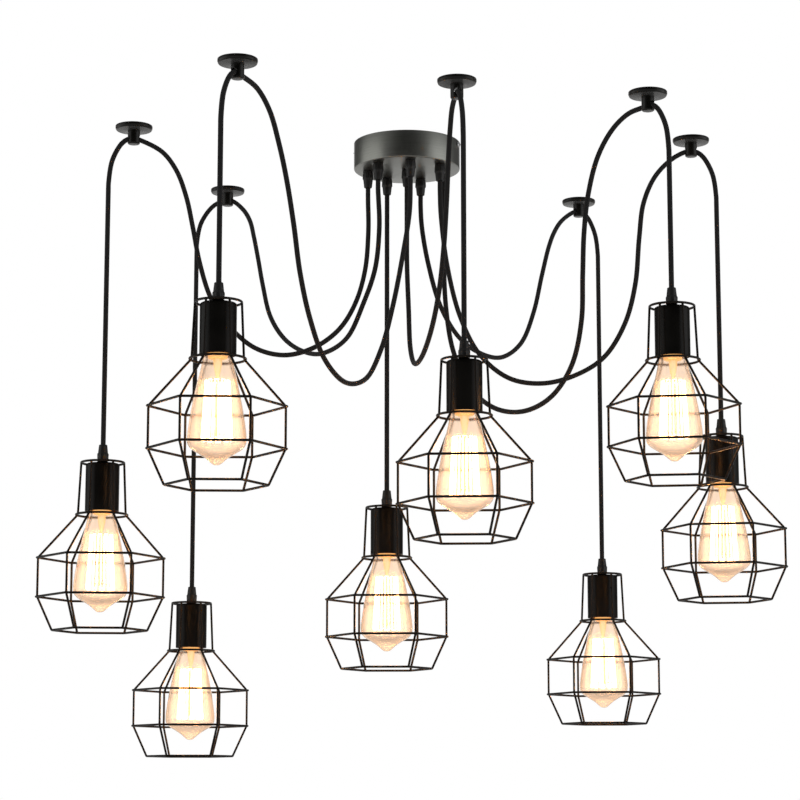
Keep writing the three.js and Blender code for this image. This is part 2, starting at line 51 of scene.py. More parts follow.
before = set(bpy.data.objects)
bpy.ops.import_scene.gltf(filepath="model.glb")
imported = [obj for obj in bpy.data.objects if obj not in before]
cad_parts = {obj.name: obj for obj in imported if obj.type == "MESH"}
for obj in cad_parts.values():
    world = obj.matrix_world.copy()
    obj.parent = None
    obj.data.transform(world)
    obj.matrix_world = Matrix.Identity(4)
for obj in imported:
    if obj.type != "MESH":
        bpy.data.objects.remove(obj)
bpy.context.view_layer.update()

# The outlet that each lamp hangs from: 0 to 6 stand in a ring, and the last one is in its middle
OUTLETS = {1: 0, 2: 2, 3: 1, 4: 6, 5: 7, 6: 5, 7: 4, 8: 3}
RING_OUTLETS = MIDDLE_OUTLET = 7
LAMPS = tuple(sorted(OUTLETS))
STRAIGHT_LAMP = 4
HUNG_LAMPS = tuple(number for number in LAMPS if number != STRAIGHT_LAMP)

# How far each cage is turned on its grip, in degrees
CAGE_TURNS = {1: 5.3, 2: 2.6, 3: 3.2, 4: -1.5, 5: -3.4, 6: -6.6, 7: -8.4, 8: -9.5}

# Routes of the looped cords from the canopy to the hooks, in millimetres
ROUTES = {
    1: [(-48, 7, -110), (-52, 6, -160), (-64, 2, -203), (-84, -4, -237), (-115, -15, -262), (-150, -26, -273),
        (-185, -36, -266), (-215, -45, -242), (-238, -52, -208), (-252, -56, -165), (-261, -60, -120),
        (-269, -62, -84), (-281, -66, -52), (-298, -72, -30)],
    2: [(3, -51, -100), (-5, -63, -155), (-17, -81, -222), (-31, -104, -280), (-49, -133, -321),
        (-72, -168, -331), (-95, -203, -310), (-111, -229, -268), (-122, -246, -218), (-129, -257, -165),
        (-137, -270, -115), (-145, -283, -78), (-155, -299, -44), (-168, -320, -24)],
    3: [(-35, -34, -80), (-34, -35, -115), (-39, -29, -165), (-54, -10, -206), (-74, 16, -243),
        (-104, 52, -256), (-130, 87, -248), (-157, 120, -225), (-177, 145, -190), (-188, 160, -145),
        (-195, 173, -108), (-202, 189, -74), (-208, 204, -50), (-218, 218, -31)],
    5: [(0, 0, -100), (0, -2, -152), (2, -11, -212), (4, -30, -265), (9, -62, -290), (18, -105, -288),
        (29, -152, -262), (37, -185, -224), (42, -205, -178), (45, -216, -130), (47, -224, -84),
        (49, -233, -48), (51, -248, -27)],
    6: [(19, 48, -95), (27, 57, -140), (43, 75, -192), (67, 101, -227), (97, 135, -242), (125, 168, -240),
        (151, 195, -216), (169, 216, -170), (181, 230, -118), (192, 244, -74), (201, 258, -50),
        (212, 272, -32)],
    7: [(46, 15, -120), (48, 13, -200), (57, 4, -262), (76, -16, -310), (106, -47, -342), (140, -82, -351),
        (171, -115, -338), (193, -138, -305), (204, -148, -255), (206, -151, -200), (208, -153, -150),
        (213, -159, -105), (224, -170, -62), (240, -187, -34), (257, -204, -20)],
    8: [(42, -27, -100), (50, -27, -165), (66, -27, -228), (90, -27, -274), (125, -27, -302),
        (165, -26, -308), (205, -26, -298), (240, -26, -276), (266, -26, -235), (280, -26, -185),
        (286, -25, -125), (292, -25, -82), (307, -25, -48), (328, -24, -26)],
}

# Glass outline from the tip up: shares of the bulb's radius and of its length under the holder
GLASS_SHARES = [(0.0, 1.0), (0.10, 0.997), (0.20, 0.978), (0.36, 0.94), (0.60, 0.898), (0.84, 0.857),
                (0.97, 0.815), (1.0, 0.76), (0.95, 0.63), (0.84, 0.455), (0.71, 0.285), (0.57, 0.12),
                (0.49, 0.0)]

QUARTER_TURN = math.pi / 2
# Edges whose faces meet at a larger angle stay sharp
SHARP_ANGLE = math.radians(38)
# Steps of a rounded corner, and the share of a side that it may take
CORNER_STEPS, CORNER_SHARE = 4, 0.49
# A radius under this is on the axis
ON_AXIS = 1e-6
# Sides of round sections
CORD_SIDES, WIRE_SIDES, FILAMENT_SIDES, RING_SIDES = 12, 10, 6, 72
# Gaps round a thread in its hole, and between two parts that touch
CLEARANCE, TOUCH = 0.0003, 0.0001
# How far a drill starts outside of what it bores
DRILL_START = 0.002
# From the middle of a lock nut to its corners
NUT_REACH = 0.0075
# Pitch of the bulbs' screw caps
CAP_PITCH = 0.0036


def number(name, description, default, unit="NONE"):
    """A number that a user may change."""
    return FloatProperty(name=name, description=description, default=default, min=0.0, unit=unit, precision=4)


def size(name, description, default):
    """A length that a user may change."""
    return number(name, description, default, "LENGTH")


def tally(name, description, default):
    """A whole number that a user may change."""
    return IntProperty(name=name, description=description, default=default, min=3)


def turn(name, description, degrees):
    """An angle that a user may change."""
    return FloatProperty(name=name, description=description, default=math.radians(degrees), unit="ROTATION")


def colour(name, description, default):
    """A surface colour that a user may change."""
    return FloatVectorProperty(name=name, description=description, default=default, subtype="COLOR", min=0.0,
                               max=1.0)


class PendantStage(PropertyGroup):
    """Camera, floor and lights."""

    camera_place: FloatVectorProperty(
        name="Camera place", description="Where the camera stands", default=(-0.0086, -2.9089, -0.8006),
        subtype="TRANSLATION", unit="LENGTH",
    )
    camera_tilt: turn("Camera tilt", "How far the camera looks up", 9.3)
    lens: number("Lens", "Focal length in millimetres", 108.0)
    floor_depth: size("Floor depth", "How far the floor lies under the ceiling", 1.05)
    floor_width: size("Floor width", "Width of the floor", 16.0)
    floor_colour: colour("Floor colour", "Pale studio floor", (0.86, 0.86, 0.85))
    lamp_power: number("Lamp power", "Power of the left studio lamp", 18.0, "POWER")


class PendantCanopy(PropertyGroup):
    """Ceiling canopy and what is in it."""

    wall: size("Wall", "Thickness of the sheet metal", 0.0012)
    edge: size("Edge radius", "Rounding of the lower edge", 0.0016)
    outlet_ring: size("Outlet ring", "Radius of the ring of outlets", 0.049)
    first_outlet: turn("First outlet", "Where the ring of outlets starts", 172.0)
    metal: colour("Metal", "Dark satin nickel", (0.250, 0.254, 0.233))
    fixing_turn: turn("Fixing turn", "Turn of the bracket and side screws", -18.0)
    bracket_reach: size("Bracket reach", "From the middle to the outside of an ear", 0.06299)
    bracket_width: size("Bracket width", "Width of the strip", 0.022)
    bracket_thickness: size("Bracket thickness", "Thickness of the strip", 0.0016)
    ear_height: size("Ear height", "How far the ears reach down", 0.014)
    slot_place: size("Slot place", "From the middle to a slot's middle", 0.030)
    slot_length: size("Slot length", "Length of a slot", 0.018)
    slot_width: size("Slot width", "Width of a slot", 0.0045)
    screw_depth: size("Screw depth", "How far the side screws lie under the ceiling", 0.0065)
    screw_head: size("Screw head", "Diameter of a side screw's head", 0.007)
    screw_head_height: size("Screw head height", "Height of a side screw's head", 0.0024)
    terminal_length: size("Terminal length", "Length of the terminal block", 0.042)
    terminal_width: size("Terminal width", "Width of the terminal block", 0.017)
    terminal_height: size("Terminal height", "Height of the terminal block", 0.013)
    bracket_metal: colour("Bracket metal", "Bright zinc", (0.62, 0.63, 0.64))
    terminal_colour: colour("Terminal colour", "White insulating plastic", (0.80, 0.78, 0.73))


class PendantGrips(PropertyGroup):
    """Cord grips on the canopy and on the lamps."""

    height: size("Height", "From the seat to the tip", 0.0205)
    base: size("Base diameter", "Width at the seat", 0.0125)
    ridge: size("Ridge diameter", "Width at the gripping ridge", 0.0138)
    shoulder: size("Shoulder diameter", "Width where the cone starts", 0.0118)
    tip: size("Tip diameter", "Width where the cord comes out", 0.0097)
    thread: size("Thread diameter", "Width of the threaded shank", 0.0094)
    flutes: tally("Flutes", "Finger flutes round the ridge", 12)
    plastic: colour("Plastic", "Black moulded plastic", (0.008, 0.008, 0.008))


class PendantHooks(PropertyGroup):
    """Ceiling hooks."""

    disc: size("Disc diameter", "Width of the ceiling disc", 0.045)
    disc_thickness: size("Disc thickness", "Thickness of the ceiling disc", 0.0056)
    stem: size("Stem diameter", "Width of the stem", 0.015)
    height: size("Height", "From the ceiling to the end of the stem", 0.023)
    bore: size("Bore diameter", "Width of the cord bore", 0.0092)
    bore_depth: size("Bore depth", "How far the bore lies under the ceiling", 0.0162)
    enamel: colour("Enamel", "Black satin enamel", (0.0045, 0.0042, 0.0032))


class PendantCords(PropertyGroup):
    """Braided cords."""

    diameter: size("Diameter", "Width of the cord over its braid", 0.006)
    step: size("Step", "Length of one segment of the sleeve", 0.004)
    lead: size("Lead", "Straight stretch under the canopy", 0.014)
    bore_rise: size("Bore rise", "How far a cord arches over in a hook's bore", 0.0008)
    bend_drop: size("Bend drop", "How far the bend under a hook reaches down", 0.060)
    hang_depth: size("Hang depth", "Where the cords start to hang straight", 0.080)
    soft_bend: size("Soft bend", "Stretch over which a swinging cord bends", 0.05)
    strands: tally("Strands", "Strands round the braid each way", 8)
    pitch: size("Pitch", "Length of one turn of a strand, over the number of strands", 0.0024)
    # The braid's colour runs from dark in its valleys to light on its crowns: painted shade and painted
    # highlight
    dark: colour("Dark strand", "Colour in the valleys of the braid", (0.004, 0.004, 0.004))
    light: colour("Light strand", "Colour on the crowns of the braid", (0.016, 0.016, 0.017))


class PendantLamps(PropertyGroup):
    """Lamp holders, cages and bulbs."""

    holder: size("Holder diameter", "Width of the metal cup", 0.040)
    holder_wall: size("Holder wall", "Thickness of the metal cup", 0.0012)
    socket: size("Socket diameter", "Width of the socket core", 0.034)
    socket_bore: size("Socket bore", "Width of the screw shell", 0.0284)
    socket_height: size("Socket height", "Height of the socket core", 0.043)
    wire: size("Wire diameter", "Thickness of the cage wire", 0.0028)
    rib_bend: size("Rib bend", "Inner radius of the ribs' bends", 0.008)
    strap: size("Strap thickness", "Thickness of the cage's strap", 0.0015)
    top_ring: size("Top ring", "Radius of the cage's top ring", 0.0252)
    neck_ring: size("Neck ring", "Radius of the ribs at the neck ring", 0.028)
    hex_ring: size("Hexagon", "Radius of the ribs at both hexagons", 0.073)
    bottom_ring: size("Bottom ring", "Radius of the bottom hexagon", 0.0556)
    enamel: colour("Enamel", "Black satin enamel", (0.0080, 0.0060, 0.0044))
    # About half the cage enamel's colour: painted shade that dims the bulbs' light on the holders
    cup_enamel: colour("Cup enamel", "Black satin enamel of the holders", (0.0040, 0.0034, 0.0026))
    brass: colour("Brass", "Screw shell and terminal screws", (0.72, 0.50, 0.22))
    nickel: colour("Nickel", "Bulb cap", (0.62, 0.60, 0.56))
    glass: colour("Glass", "Tint of the bulb glass", (1.0, 0.875, 0.76))
    glass_rim: colour("Glass rim", "Tint where the glass is seen edge on", (1.0, 0.66, 0.40))
    glass_haze: number("Glass haze", "Roughness of the bulb glass", 0.12)
    glow: colour("Glow", "Colour of the burning filament", (1.0, 0.60, 0.29))
    filament_strength: number("Filament strength", "Brightness of the filament", 60.0)
    filament_strands: tally("Filament strands", "Upright strands of the filament", 22)
    # Strength of the painted glow that stands in for the filament's light in the glass stem and flare
    stem_glow: number("Stem glow", "Brightness of the lit glass stem", 0.9)
    stem_base: colour("Stem base", "Own colour of the glass stem", (0.22, 0.11, 0.04))


GROUPS = {
    "pendant_stage": PendantStage,
    "pendant_canopy": PendantCanopy,
    "pendant_grips": PendantGrips,
    "pendant_hooks": PendantHooks,
    "pendant_cords": PendantCords,
    "pendant_lamps": PendantLamps,
}


# Places read from the packed model


def middle_of(name):
    """Middle of a CAD node's box."""
    low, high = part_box(name)
    return (low + high) / 2


def lamp_tip(number):
    """Where the cord enters a lamp's grip."""
    tip = middle_of(f"cord_grip_{number}")
    tip.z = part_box(f"cord_grip_{number}")[1].z
    return tip


def outlet_place(canopy, outlet):
    """Place of an outlet on the canopy, seen from above."""
    if outlet == MIDDLE_OUTLET:
        return Vector((0.0, 0.0, 0.0))
    angle = canopy.first_outlet + outlet * math.tau / RING_OUTLETS
    return Vector((math.cos(angle), math.sin(angle), 0.0)) * canopy.outlet_ring


# Meshes


def rounded(outline):
    """Outline of (radius, height) points, where a third number rounds that corner by that radius."""
    points = []
    for index, (x, y, *fillet) in enumerate(outline):
        here = Vector((x, y))
        if not any(fillet):
            points.append(here)
            continue
        before = Vector(outline[index - 1][:2]) - here
        after = Vector(outline[(index + 1) % len(outline)][:2]) - here
        half = before.angle(after) / 2
        reach = min(fillet[0] / math.tan(half), before.length * CORNER_SHARE, after.length * CORNER_SHARE)
        radius = reach * math.tan(half)
        before.normalize()
        after.normalize()
        first, last = here + before * reach, here + after * reach
        centre = here + (before + after).normalized() * (radius / math.sin(half))
        for step in range(CORNER_STEPS + 1):
            arm = (first - centre).lerp(last - centre, step / CORNER_STEPS)
            points.append(centre + arm.normalized() * radius)
    return points


def turned(outline, sides, flute=None):
    """Shape turned about Z from an outline that runs up its outer side. flute scales a radius."""
    shape = bmesh.new()
    rings = []
    for radius, height in outline:
        ring = []
        for side in range(sides if radius > ON_AXIS else 1):
            angle = side * math.tau / sides
            reach = radius * (flute(angle, height) if flute else 1.0)
            ring.append(shape.verts.new((reach * math.cos(angle), reach * math.sin(angle), height)))
        rings.append(ring)
    closing = rings[:1] if len(rings[0]) > 1 else []
    for lower, upper in zip(rings, rings[1:] + closing):
        if len(lower) == len(upper) == 1:
            continue
        for side in range(sides):
            following = (side + 1) % sides
            corners = [lower[side % len(lower)], lower[following % len(lower)],
                       upper[following % len(upper)], upper[side % len(upper)]]
            shape.faces.new(list(dict.fromkeys(corners)))
    return shape


def rod(radius, low, high, sides):
    """Upright round rod between two heights."""
    return turned([(0.0, low), (radius, low), (radius, high), (0.0, high)], sides)


def box_shape(centre, spans):
    """Box with its middle and its three spans."""
    shape = bmesh.new()
    bmesh.ops.create_cube(shape, size=1.0)
    bmesh.ops.scale(shape, vec=spans, verts=shape.verts)
    return moved(shape, centre)


def moved(shape, place=(0.0, 0.0, 0.0), angle=0.0, axis="Z"):
    """Shape turned about an axis and then moved."""
    bmesh.ops.rotate(shape, matrix=Matrix.Rotation(angle, 3, axis), verts=shape.verts)
    bmesh.ops.translate(shape, vec=place, verts=shape.verts)
    return shape


def finished(name, shape):
    """Mesh of a shape, with smooth faces and sharp edges where they meet at a large angle."""
    for face in shape.faces:
        face.smooth = True
    for edge in shape.edges:
        edge.smooth = len(edge.link_faces) == 2 and edge.calc_face_angle() < SHARP_ANGLE
    mesh = bpy.data.meshes.new(name)
    shape.to_mesh(mesh)
    shape.free()
    return mesh


def joined(name, *meshes):
    """One finished mesh from several."""
    whole = bmesh.new()
    for mesh in meshes:
        whole.from_mesh(mesh)
    return finished(name, whole)


def lathed(name, outline, sides):
    """Mesh turned about Z from an outline with rounded corners."""
    return finished(name, turned(rounded(outline), sides))


def linked(name, data):
    """New object in the scene."""
    item = bpy.data.objects.new(name, data)
    bpy.context.scene.collection.objects.link(item)
    return item


def applied(host):
    """Plain mesh of an object with its modifier applied, in place of the object."""
    mesh = bpy.data.meshes.new_from_object(host.evaluated_get(bpy.context.evaluated_depsgraph_get()))
    bpy.data.objects.remove(host)
    return mesh


def cut(mesh, shape):
    """Mesh with a shape taken out of it."""
    host, blade = linked("host", mesh), linked("blade", finished("blade", shape))
    boolean = host.modifiers.new("cut", "BOOLEAN")
    boolean.operation, boolean.solver, boolean.object = "DIFFERENCE", "EXACT", blade
    result = applied(host)
    bpy.data.objects.remove(blade)
    return joined(mesh.name, result)


def bored(mesh, radius, low, high, place=(0.0, 0.0, 0.0), tilt=0.0, sides=24):
    """Mesh with a round hole bored into it, upright or tilted about Y."""
    return cut(mesh, moved(rod(radius, low, high, sides), place, tilt, "Y"))


def line_mesh(points):
    """Mesh of bare edges along a line of points."""
    mesh = bpy.data.meshes.new("line")
    mesh.from_pydata([tuple(point) for point in points], [(i, i + 1) for i in range(len(points) - 1)], [])
    return mesh


LOOKS = {}


def show(name, mesh, look, slot, replaced=(), body="ceiling_set", place=None, angle=0.0):
    """Object of the light: its place goes into its mesh, and it rides on a body."""
    if place is not None:
        mesh.transform(Matrix.Translation(place) @ Matrix.Rotation(angle, 4, "Z"))
    if look:
        mesh.materials.clear()
        mesh.materials.append(LOOKS[look])
    piece = linked(name, mesh)
    if body:
        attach(piece, body)
    if replaced:
        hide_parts(*replaced)
    return piece


def show_on_lamps(parts, body):
    """Puts parts on every lamp. A part has its mesh, look and slot, and the CAD nodes that it stands for."""
    for name, (mesh, look, slot, nodes) in parts.items():
        for number in LAMPS:
            replaced = [f"{nodes}_{number}"] if nodes else ()
            show(f"{name}_{number}", mesh.copy(), look, slot, replaced, f"{body}_{number}", lamp_tip(number))


# Node trees


def feed(tree, item, values):
    """Links or fills in the inputs of a node."""
    for key, value in values.items():
        if isinstance(value, bpy.types.NodeSocket):
            tree.links.new(value, item.inputs[key])
        else:
            item.inputs[key].default_value = value


def node(tree, kind, values=None, **settings):
    """Outputs of a new node with its settings made and its inputs linked or filled in."""
    made = tree.nodes.new(kind)
    for key, value in settings.items():
        setattr(made, key, value)
    feed(tree, made, values or {})
    return made.outputs


def maths(tree, operation, *values):
    """Output of a Math node."""
    return node(tree, "ShaderNodeMath", dict(enumerate(values)), operation=operation)[0]


def vector(tree, **parts):
    """Vector from its X, Y and Z."""
    return node(tree, "ShaderNodeCombineXYZ", parts)[0]


def new_tree(name, kind, inputs, outputs):
    """Node group. An input has its default or, as an output has, the kind of its socket."""
    tree = bpy.data.node_groups.new(name, kind)
    for title, value in inputs.items():
        sort = value if isinstance(value, str) else type(value).__name__.title()
        socket = tree.interface.new_socket(title, in_out="INPUT", socket_type=f"NodeSocket{sort}")
        if sort != value:
            socket.default_value = value
    for title, sort in outputs.items():
        tree.interface.new_socket(title, in_out="OUTPUT", socket_type=f"NodeSocket{sort}")
    return tree, tree.nodes.new("NodeGroupInput").outputs, tree.nodes.new("NodeGroupOutput")


def growing_tree(name, inputs):
    """Geometry Nodes tree that takes a mesh, its sizes and a material."""
    given = {"Geometry": "Geometry", **inputs, "Material": "Material"}
    return new_tree(name, "GeometryNodeTree", given, {"Geometry": "Geometry"})


def dressed(tree, given, out, geometry):
    """Ends a Geometry Nodes tree with smooth faces, real copies and the material."""
    smooth = node(tree, "GeometryNodeSetShadeSmooth", {0: geometry})[0]
    real = node(tree, "GeometryNodeRealizeInstances", {0: smooth})[0]
    final = node(tree, "GeometryNodeSetMaterial", {"Geometry": real, "Material": given["Material"]})[0]
    tree.links.new(final, out.inputs[0])
    return tree


def round_copies(tree, piece, count, first):
    """Copies of a piece at even angles round the Z axis."""
    points = node(tree, "GeometryNodePoints", {"Count": count})[0]
    index = node(tree, "GeometryNodeInputIndex")[0]
    angle = maths(tree, "MULTIPLY_ADD", index, maths(tree, "DIVIDE", math.tau, count), first)
    facing = node(tree, "FunctionNodeEulerToRotation", {0: vector(tree, Z=angle)})[0]
    values = {"Points": points, "Instance": piece, "Rotation": facing}
    return node(tree, "GeometryNodeInstanceOnPoints", values)[0]


def circle(tree, sides, radius):
    """Closed curve with even sides round the Z axis."""
    return node(tree, "GeometryNodeCurvePrimitiveCircle", {"Resolution": sides, "Radius": radius})[0]


def swept(tree, line, section):
    """Mesh of a section that runs along a line."""
    values = {"Curve": line, "Profile Curve": section, "Fill Caps": True}
    return node(tree, "GeometryNodeCurveToMesh", values)[0]


def grown(name, mesh, tree, look, sizes):
    """Plain mesh that a Geometry Nodes tree grows from a mesh."""
    host = linked(name, mesh)
    modifier = host.modifiers.new(tree.name, "NODES")
    modifier.node_group = tree
    values = {"Material": LOOKS[look], **sizes}
    for item in tree.interface.items_tree:
        if item.in_out == "INPUT" and item.name in values:
            modifier[item.identifier] = values[item.name]
    result = applied(host)
    result.name = name
    return result


def ring_tree():
    """Geometry Nodes tree that repeats a piece round the Z axis."""
    tree, given, out = growing_tree("repeat_round", {"Count": 6, "First Turn": 0.0})
    copies = round_copies(tree, given["Geometry"], given["Count"], given["First Turn"])
    return dressed(tree, given, out, copies)


def sleeve_tree():
    """Geometry Nodes tree that lays a round sleeve along a line, with its run and its turn as attributes."""
    tree, given, out = growing_tree("sleeve_along_line", {"Radius": 0.003, "Sides": 12})

    def stored(geometry, title, value, data_type):
        """Geometry that keeps a value as an attribute of its points."""
        values = {"Geometry": geometry, "Name": title, "Value": value}
        return node(tree, "GeometryNodeStoreNamedAttribute", values, data_type=data_type, domain="POINT")[0]

    line = node(tree, "GeometryNodeMeshToCurve", {0: given["Geometry"]})[0]
    line = stored(line, "cord_run", node(tree, "GeometryNodeSplineParameter")["Length"], "FLOAT")
    section = circle(tree, given["Sides"], given["Radius"])
    section = stored(section, "cord_side", node(tree, "GeometryNodeInputPosition")[0], "FLOAT_VECTOR")
    return dressed(tree, given, out, swept(tree, line, section))


def cage_tree():
    """Geometry Nodes tree that welds a wire cage from one rib, two round rings and three hexagons."""
    rings = ("Top", "Neck", "Upper", "Lower", "Bottom")
    inputs = {"Wire Radius": 0.0014, "Ribs": 6, "Rib Bend": 0.004, "Corner Bend": 0.003}
    for ring in rings:
        inputs |= {f"{ring} Radius": 0.05, f"{ring} Height": 0.0}
    tree, given, out = growing_tree("welded_wire_cage", inputs)

    def bent(line, radius):
        """Line with its corners rounded."""
        values = {"Curve": line, "Radius": given[radius], "Limit Radius": True, "Count": 4}
        return node(tree, "GeometryNodeFilletCurve", values, mode="POLY")[0]

    rib = bent(node(tree, "GeometryNodeMeshToCurve", {0: given["Geometry"]})[0], "Rib Bend")
    ribs = round_copies(tree, rib, given["Ribs"], 0.0)
    lines = [node(tree, "GeometryNodeRealizeInstances", {0: ribs})[0]]
    for ring in rings:
        radius, height = given[f"{ring} Radius"], vector(tree, Z=given[f"{ring} Height"])
        if ring in ("Top", "Neck"):
            line = circle(tree, RING_SIDES, radius)
        else:
            line = bent(circle(tree, given["Ribs"], radius), "Corner Bend")
        lines.append(node(tree, "GeometryNodeTransform", {"Geometry": line, "Translation": height})[0])
    whole = tree.nodes.new("GeometryNodeJoinGeometry")
    for line in lines:
        tree.links.new(line, whole.inputs[0])
    section = circle(tree, WIRE_SIDES, given["Wire Radius"])
    return dressed(tree, given, out, swept(tree, whole.outputs[0], section))


# Shader groups


def noise(tree, scale, detail, place=None, roughness=0.5):
    """Noise in a piece's own coordinates, or in others."""
    if place is None:
        place = node(tree, "ShaderNodeTexCoord")["Object"]
    values = {"Vector": place, "Scale": scale, "Detail": detail, "Roughness": roughness}
    return node(tree, "ShaderNodeTexNoise", values)[0]


def around_axis(tree, split):
    """Angle round the Z axis."""
    return maths(tree, "ARCTAN2", split["Y"], split["X"])


def finish_group(name, inputs, pattern):
    """Shader group of a finish, from the height and the mask of its pattern."""
    inputs |= {"Roughness": 0.4, "Variation": 0.12}
    outputs = {"Roughness": "Float", "Normal": "Vector", "Mask": "Float"}
    tree, given, out = new_tree(name, "ShaderNodeTree", inputs, outputs)
    height, mask = pattern(tree, given)
    centred = maths(tree, "SUBTRACT", mask, 0.5)
    rough = maths(tree, "MULTIPLY_ADD", centred, given["Variation"], given["Roughness"])
    bump = node(tree, "ShaderNodeBump", {"Height": height, "Distance": given["Depth"], "Strength": 1.0})[0]
    feed(tree, out, {"Roughness": rough, "Normal": bump, "Mask": mask})


def fine_grain(tree, given):
    """Fine moulded or sprayed grain, with broad changes."""
    return noise(tree, given["Scale"], 2.0), noise(tree, 38.0, 4.0)


def round_brushing(tree, given):
    """Fine brushing that runs round the Z axis on a wall and in circles on a flat."""
    split = node(tree, "ShaderNodeSeparateXYZ", {0: node(tree, "ShaderNodeTexCoord")["Object"]})
    flat = vector(tree, X=split["X"], Y=split["Y"])
    reach = node(tree, "ShaderNodeVectorMath", {0: flat}, operation="LENGTH")["Value"]
    strip = vector(
        tree,
        X=maths(tree, "MULTIPLY", around_axis(tree, split), 2.2),
        Y=maths(tree, "MULTIPLY", split["Z"], given["Fineness"]),
        Z=maths(tree, "MULTIPLY", reach, given["Fineness"]),
    )
    lines = noise(tree, 1.0, 3.0, strip, 0.6)
    return lines, lines


def braid_group():
    """Shader group: two families of strands that cross round a cord."""
    inputs = {"Strands": 8.0, "Pitch": 0.0024, "Depth": 0.0002}
    outputs = {"Crown": "Float", "Normal": "Vector"}
    tree, given, out = new_tree("cord_braid", "ShaderNodeTree", inputs, outputs)
    side = node(tree, "ShaderNodeAttribute", attribute_name="cord_side")["Vector"]
    split = node(tree, "ShaderNodeSeparateXYZ", {0: side})
    around = maths(tree, "MULTIPLY", around_axis(tree, split), given["Strands"])
    run = node(tree, "ShaderNodeAttribute", attribute_name="cord_run")["Fac"]
    along = maths(tree, "MULTIPLY", maths(tree, "DIVIDE", run, given["Pitch"]), math.tau)
    right, left = [
        maths(tree, "MULTIPLY_ADD", maths(tree, "SINE", maths(tree, way, around, along)), 0.5, 0.5)
        for way in ("ADD", "SUBTRACT")
    ]
    crown = maths(tree, "MAXIMUM", right, maths(tree, "MULTIPLY", left, 0.55))
    bump = node(tree, "ShaderNodeBump", {"Height": crown, "Distance": given["Depth"], "Strength": 0.9})[0]
    feed(tree, out, {"Crown": crown, "Normal": bump})


# Materials


def blank(name, base, roughness, metallic=0.0):
    """Material with a Principled shader, and its tree."""
    look = bpy.data.materials.new(name)
    look.use_nodes = True
    tree = look.node_tree
    shader = tree.nodes["Principled BSDF"]
    feed(tree, shader, {"Base Color": (*base, 1.0), "Roughness": roughness, "Metallic": metallic})
    return look, tree, shader


def mixed_shader(tree, share, first, second):
    """Two shaders mixed by a share of the second."""
    return node(tree, "ShaderNodeMixShader", {0: share, 1: first, 2: second})[0]


def tinted(tree, mask, dark, light, low=0.3, high=0.7):
    """Colour that goes from dark to light as a mask rises."""
    share = node(tree, "ShaderNodeMapRange", {"Value": mask, "From Min": low, "From Max": high})[0]
    values = {"Factor": share, "A": (*dark, 1.0), "B": (*light, 1.0)}
    return node(tree, "ShaderNodeMix", values, data_type="RGBA")["Result"]


def shaded(base, share):
    """Colour made darker or lighter by a share."""
    return tuple(min(1.0, channel * share) for channel in base)


def dress(tree, shader, base, dark, light, group, values):
    """Links the colours, roughness and bump of a finish group to a shader."""
    finish = node(tree, "ShaderNodeGroup", values, node_tree=bpy.data.node_groups[group])
    tint = tinted(tree, finish["Mask"], shaded(base, dark), shaded(base, light))
    feed(tree, shader, {"Base Color": tint, "Roughness": finish["Roughness"], "Normal": finish["Normal"]})


def grained(name, base, roughness, metallic, scale, depth, variation, spread, gloss=0.5, sheen=0.0):
    """Sprayed, moulded or cast surface."""
    look, tree, shader = blank(name, base, roughness, metallic)
    values = {"Scale": scale, "Depth": depth, "Roughness": roughness, "Variation": variation}
    dress(tree, shader, base, 1 - spread, 1 + spread, "fine_grain", values)
    feed(tree, shader, {"Specular IOR Level": gloss, "Sheen Weight": sheen, "Sheen Roughness": 0.3})
    return look


def brushed(name, base, roughness):
    """Metal with fine brushing round its axis."""
    look, tree, shader = blank(name, base, roughness, 1.0)
    dress(tree, shader, base, 0.86, 1.1, "round_brushing", {"Roughness": roughness})
    feed(tree, shader, {"Coat Weight": 0.15, "Coat Roughness": 0.25})
    return look


def braided(cords):
    """Black textile braid, with painted shade in the valleys between the strands and a painted highlight on
    their crowns.
    """
    look, tree, shader = blank("black_braid", cords.light, 0.9)
    values = {"Strands": float(cords.strands), "Pitch": cords.pitch}
    braid = node(tree, "ShaderNodeGroup", values, node_tree=bpy.data.node_groups["cord_braid"])
    fuzz = maths(tree, "SUBTRACT", noise(tree, 2400.0, 2.0), 0.5)
    # Painted shade in the braid's valleys and painted highlight on its crowns, broken up by fibre fuzz
    mask = maths(tree, "MULTIPLY_ADD", fuzz, 0.5, braid["Crown"])
    tint = tinted(tree, mask, cords.dark, cords.light, 0.35, 0.95)
    feed(tree, shader, {"Base Color": tint, "Normal": braid["Normal"]})
    feed(tree, shader, {"Specular IOR Level": 0.25, "Sheen Weight": 0.06, "Sheen Roughness": 0.5})
    return look


def bulb_glass(lamps):
    """Thin tinted glass, hazy and amber at its edges, that the filament's light passes unbent."""
    look, tree, shader = blank("amber_glass", lamps.glass, lamps.glass_haze)
    edge = maths(tree, "POWER", node(tree, "ShaderNodeLayerWeight")["Facing"], 2.0)
    tint = tinted(tree, edge, lamps.glass, lamps.glass_rim, 0.0, 0.8)
    feed(tree, shader, {"Base Color": tint, "Transmission Weight": 1.0, "IOR": 1.45})
    clear = node(tree, "ShaderNodeBsdfTransparent", {"Color": (*lamps.glass, 1.0)})[0]
    path = node(tree, "ShaderNodeLightPath")
    mirrored = maths(tree, "SUBTRACT", path["Is Glossy Ray"], path["Is Transmission Ray"])
    bounced = maths(tree, "MAXIMUM", path["Is Diffuse Ray"], mirrored)
    unbent = maths(tree, "MAXIMUM", path["Is Shadow Ray"], bounced)
    both = mixed_shader(tree, unbent, shader.outputs[0], clear)
    feed(tree, tree.nodes["Material Output"], {"Surface": both})
    return look


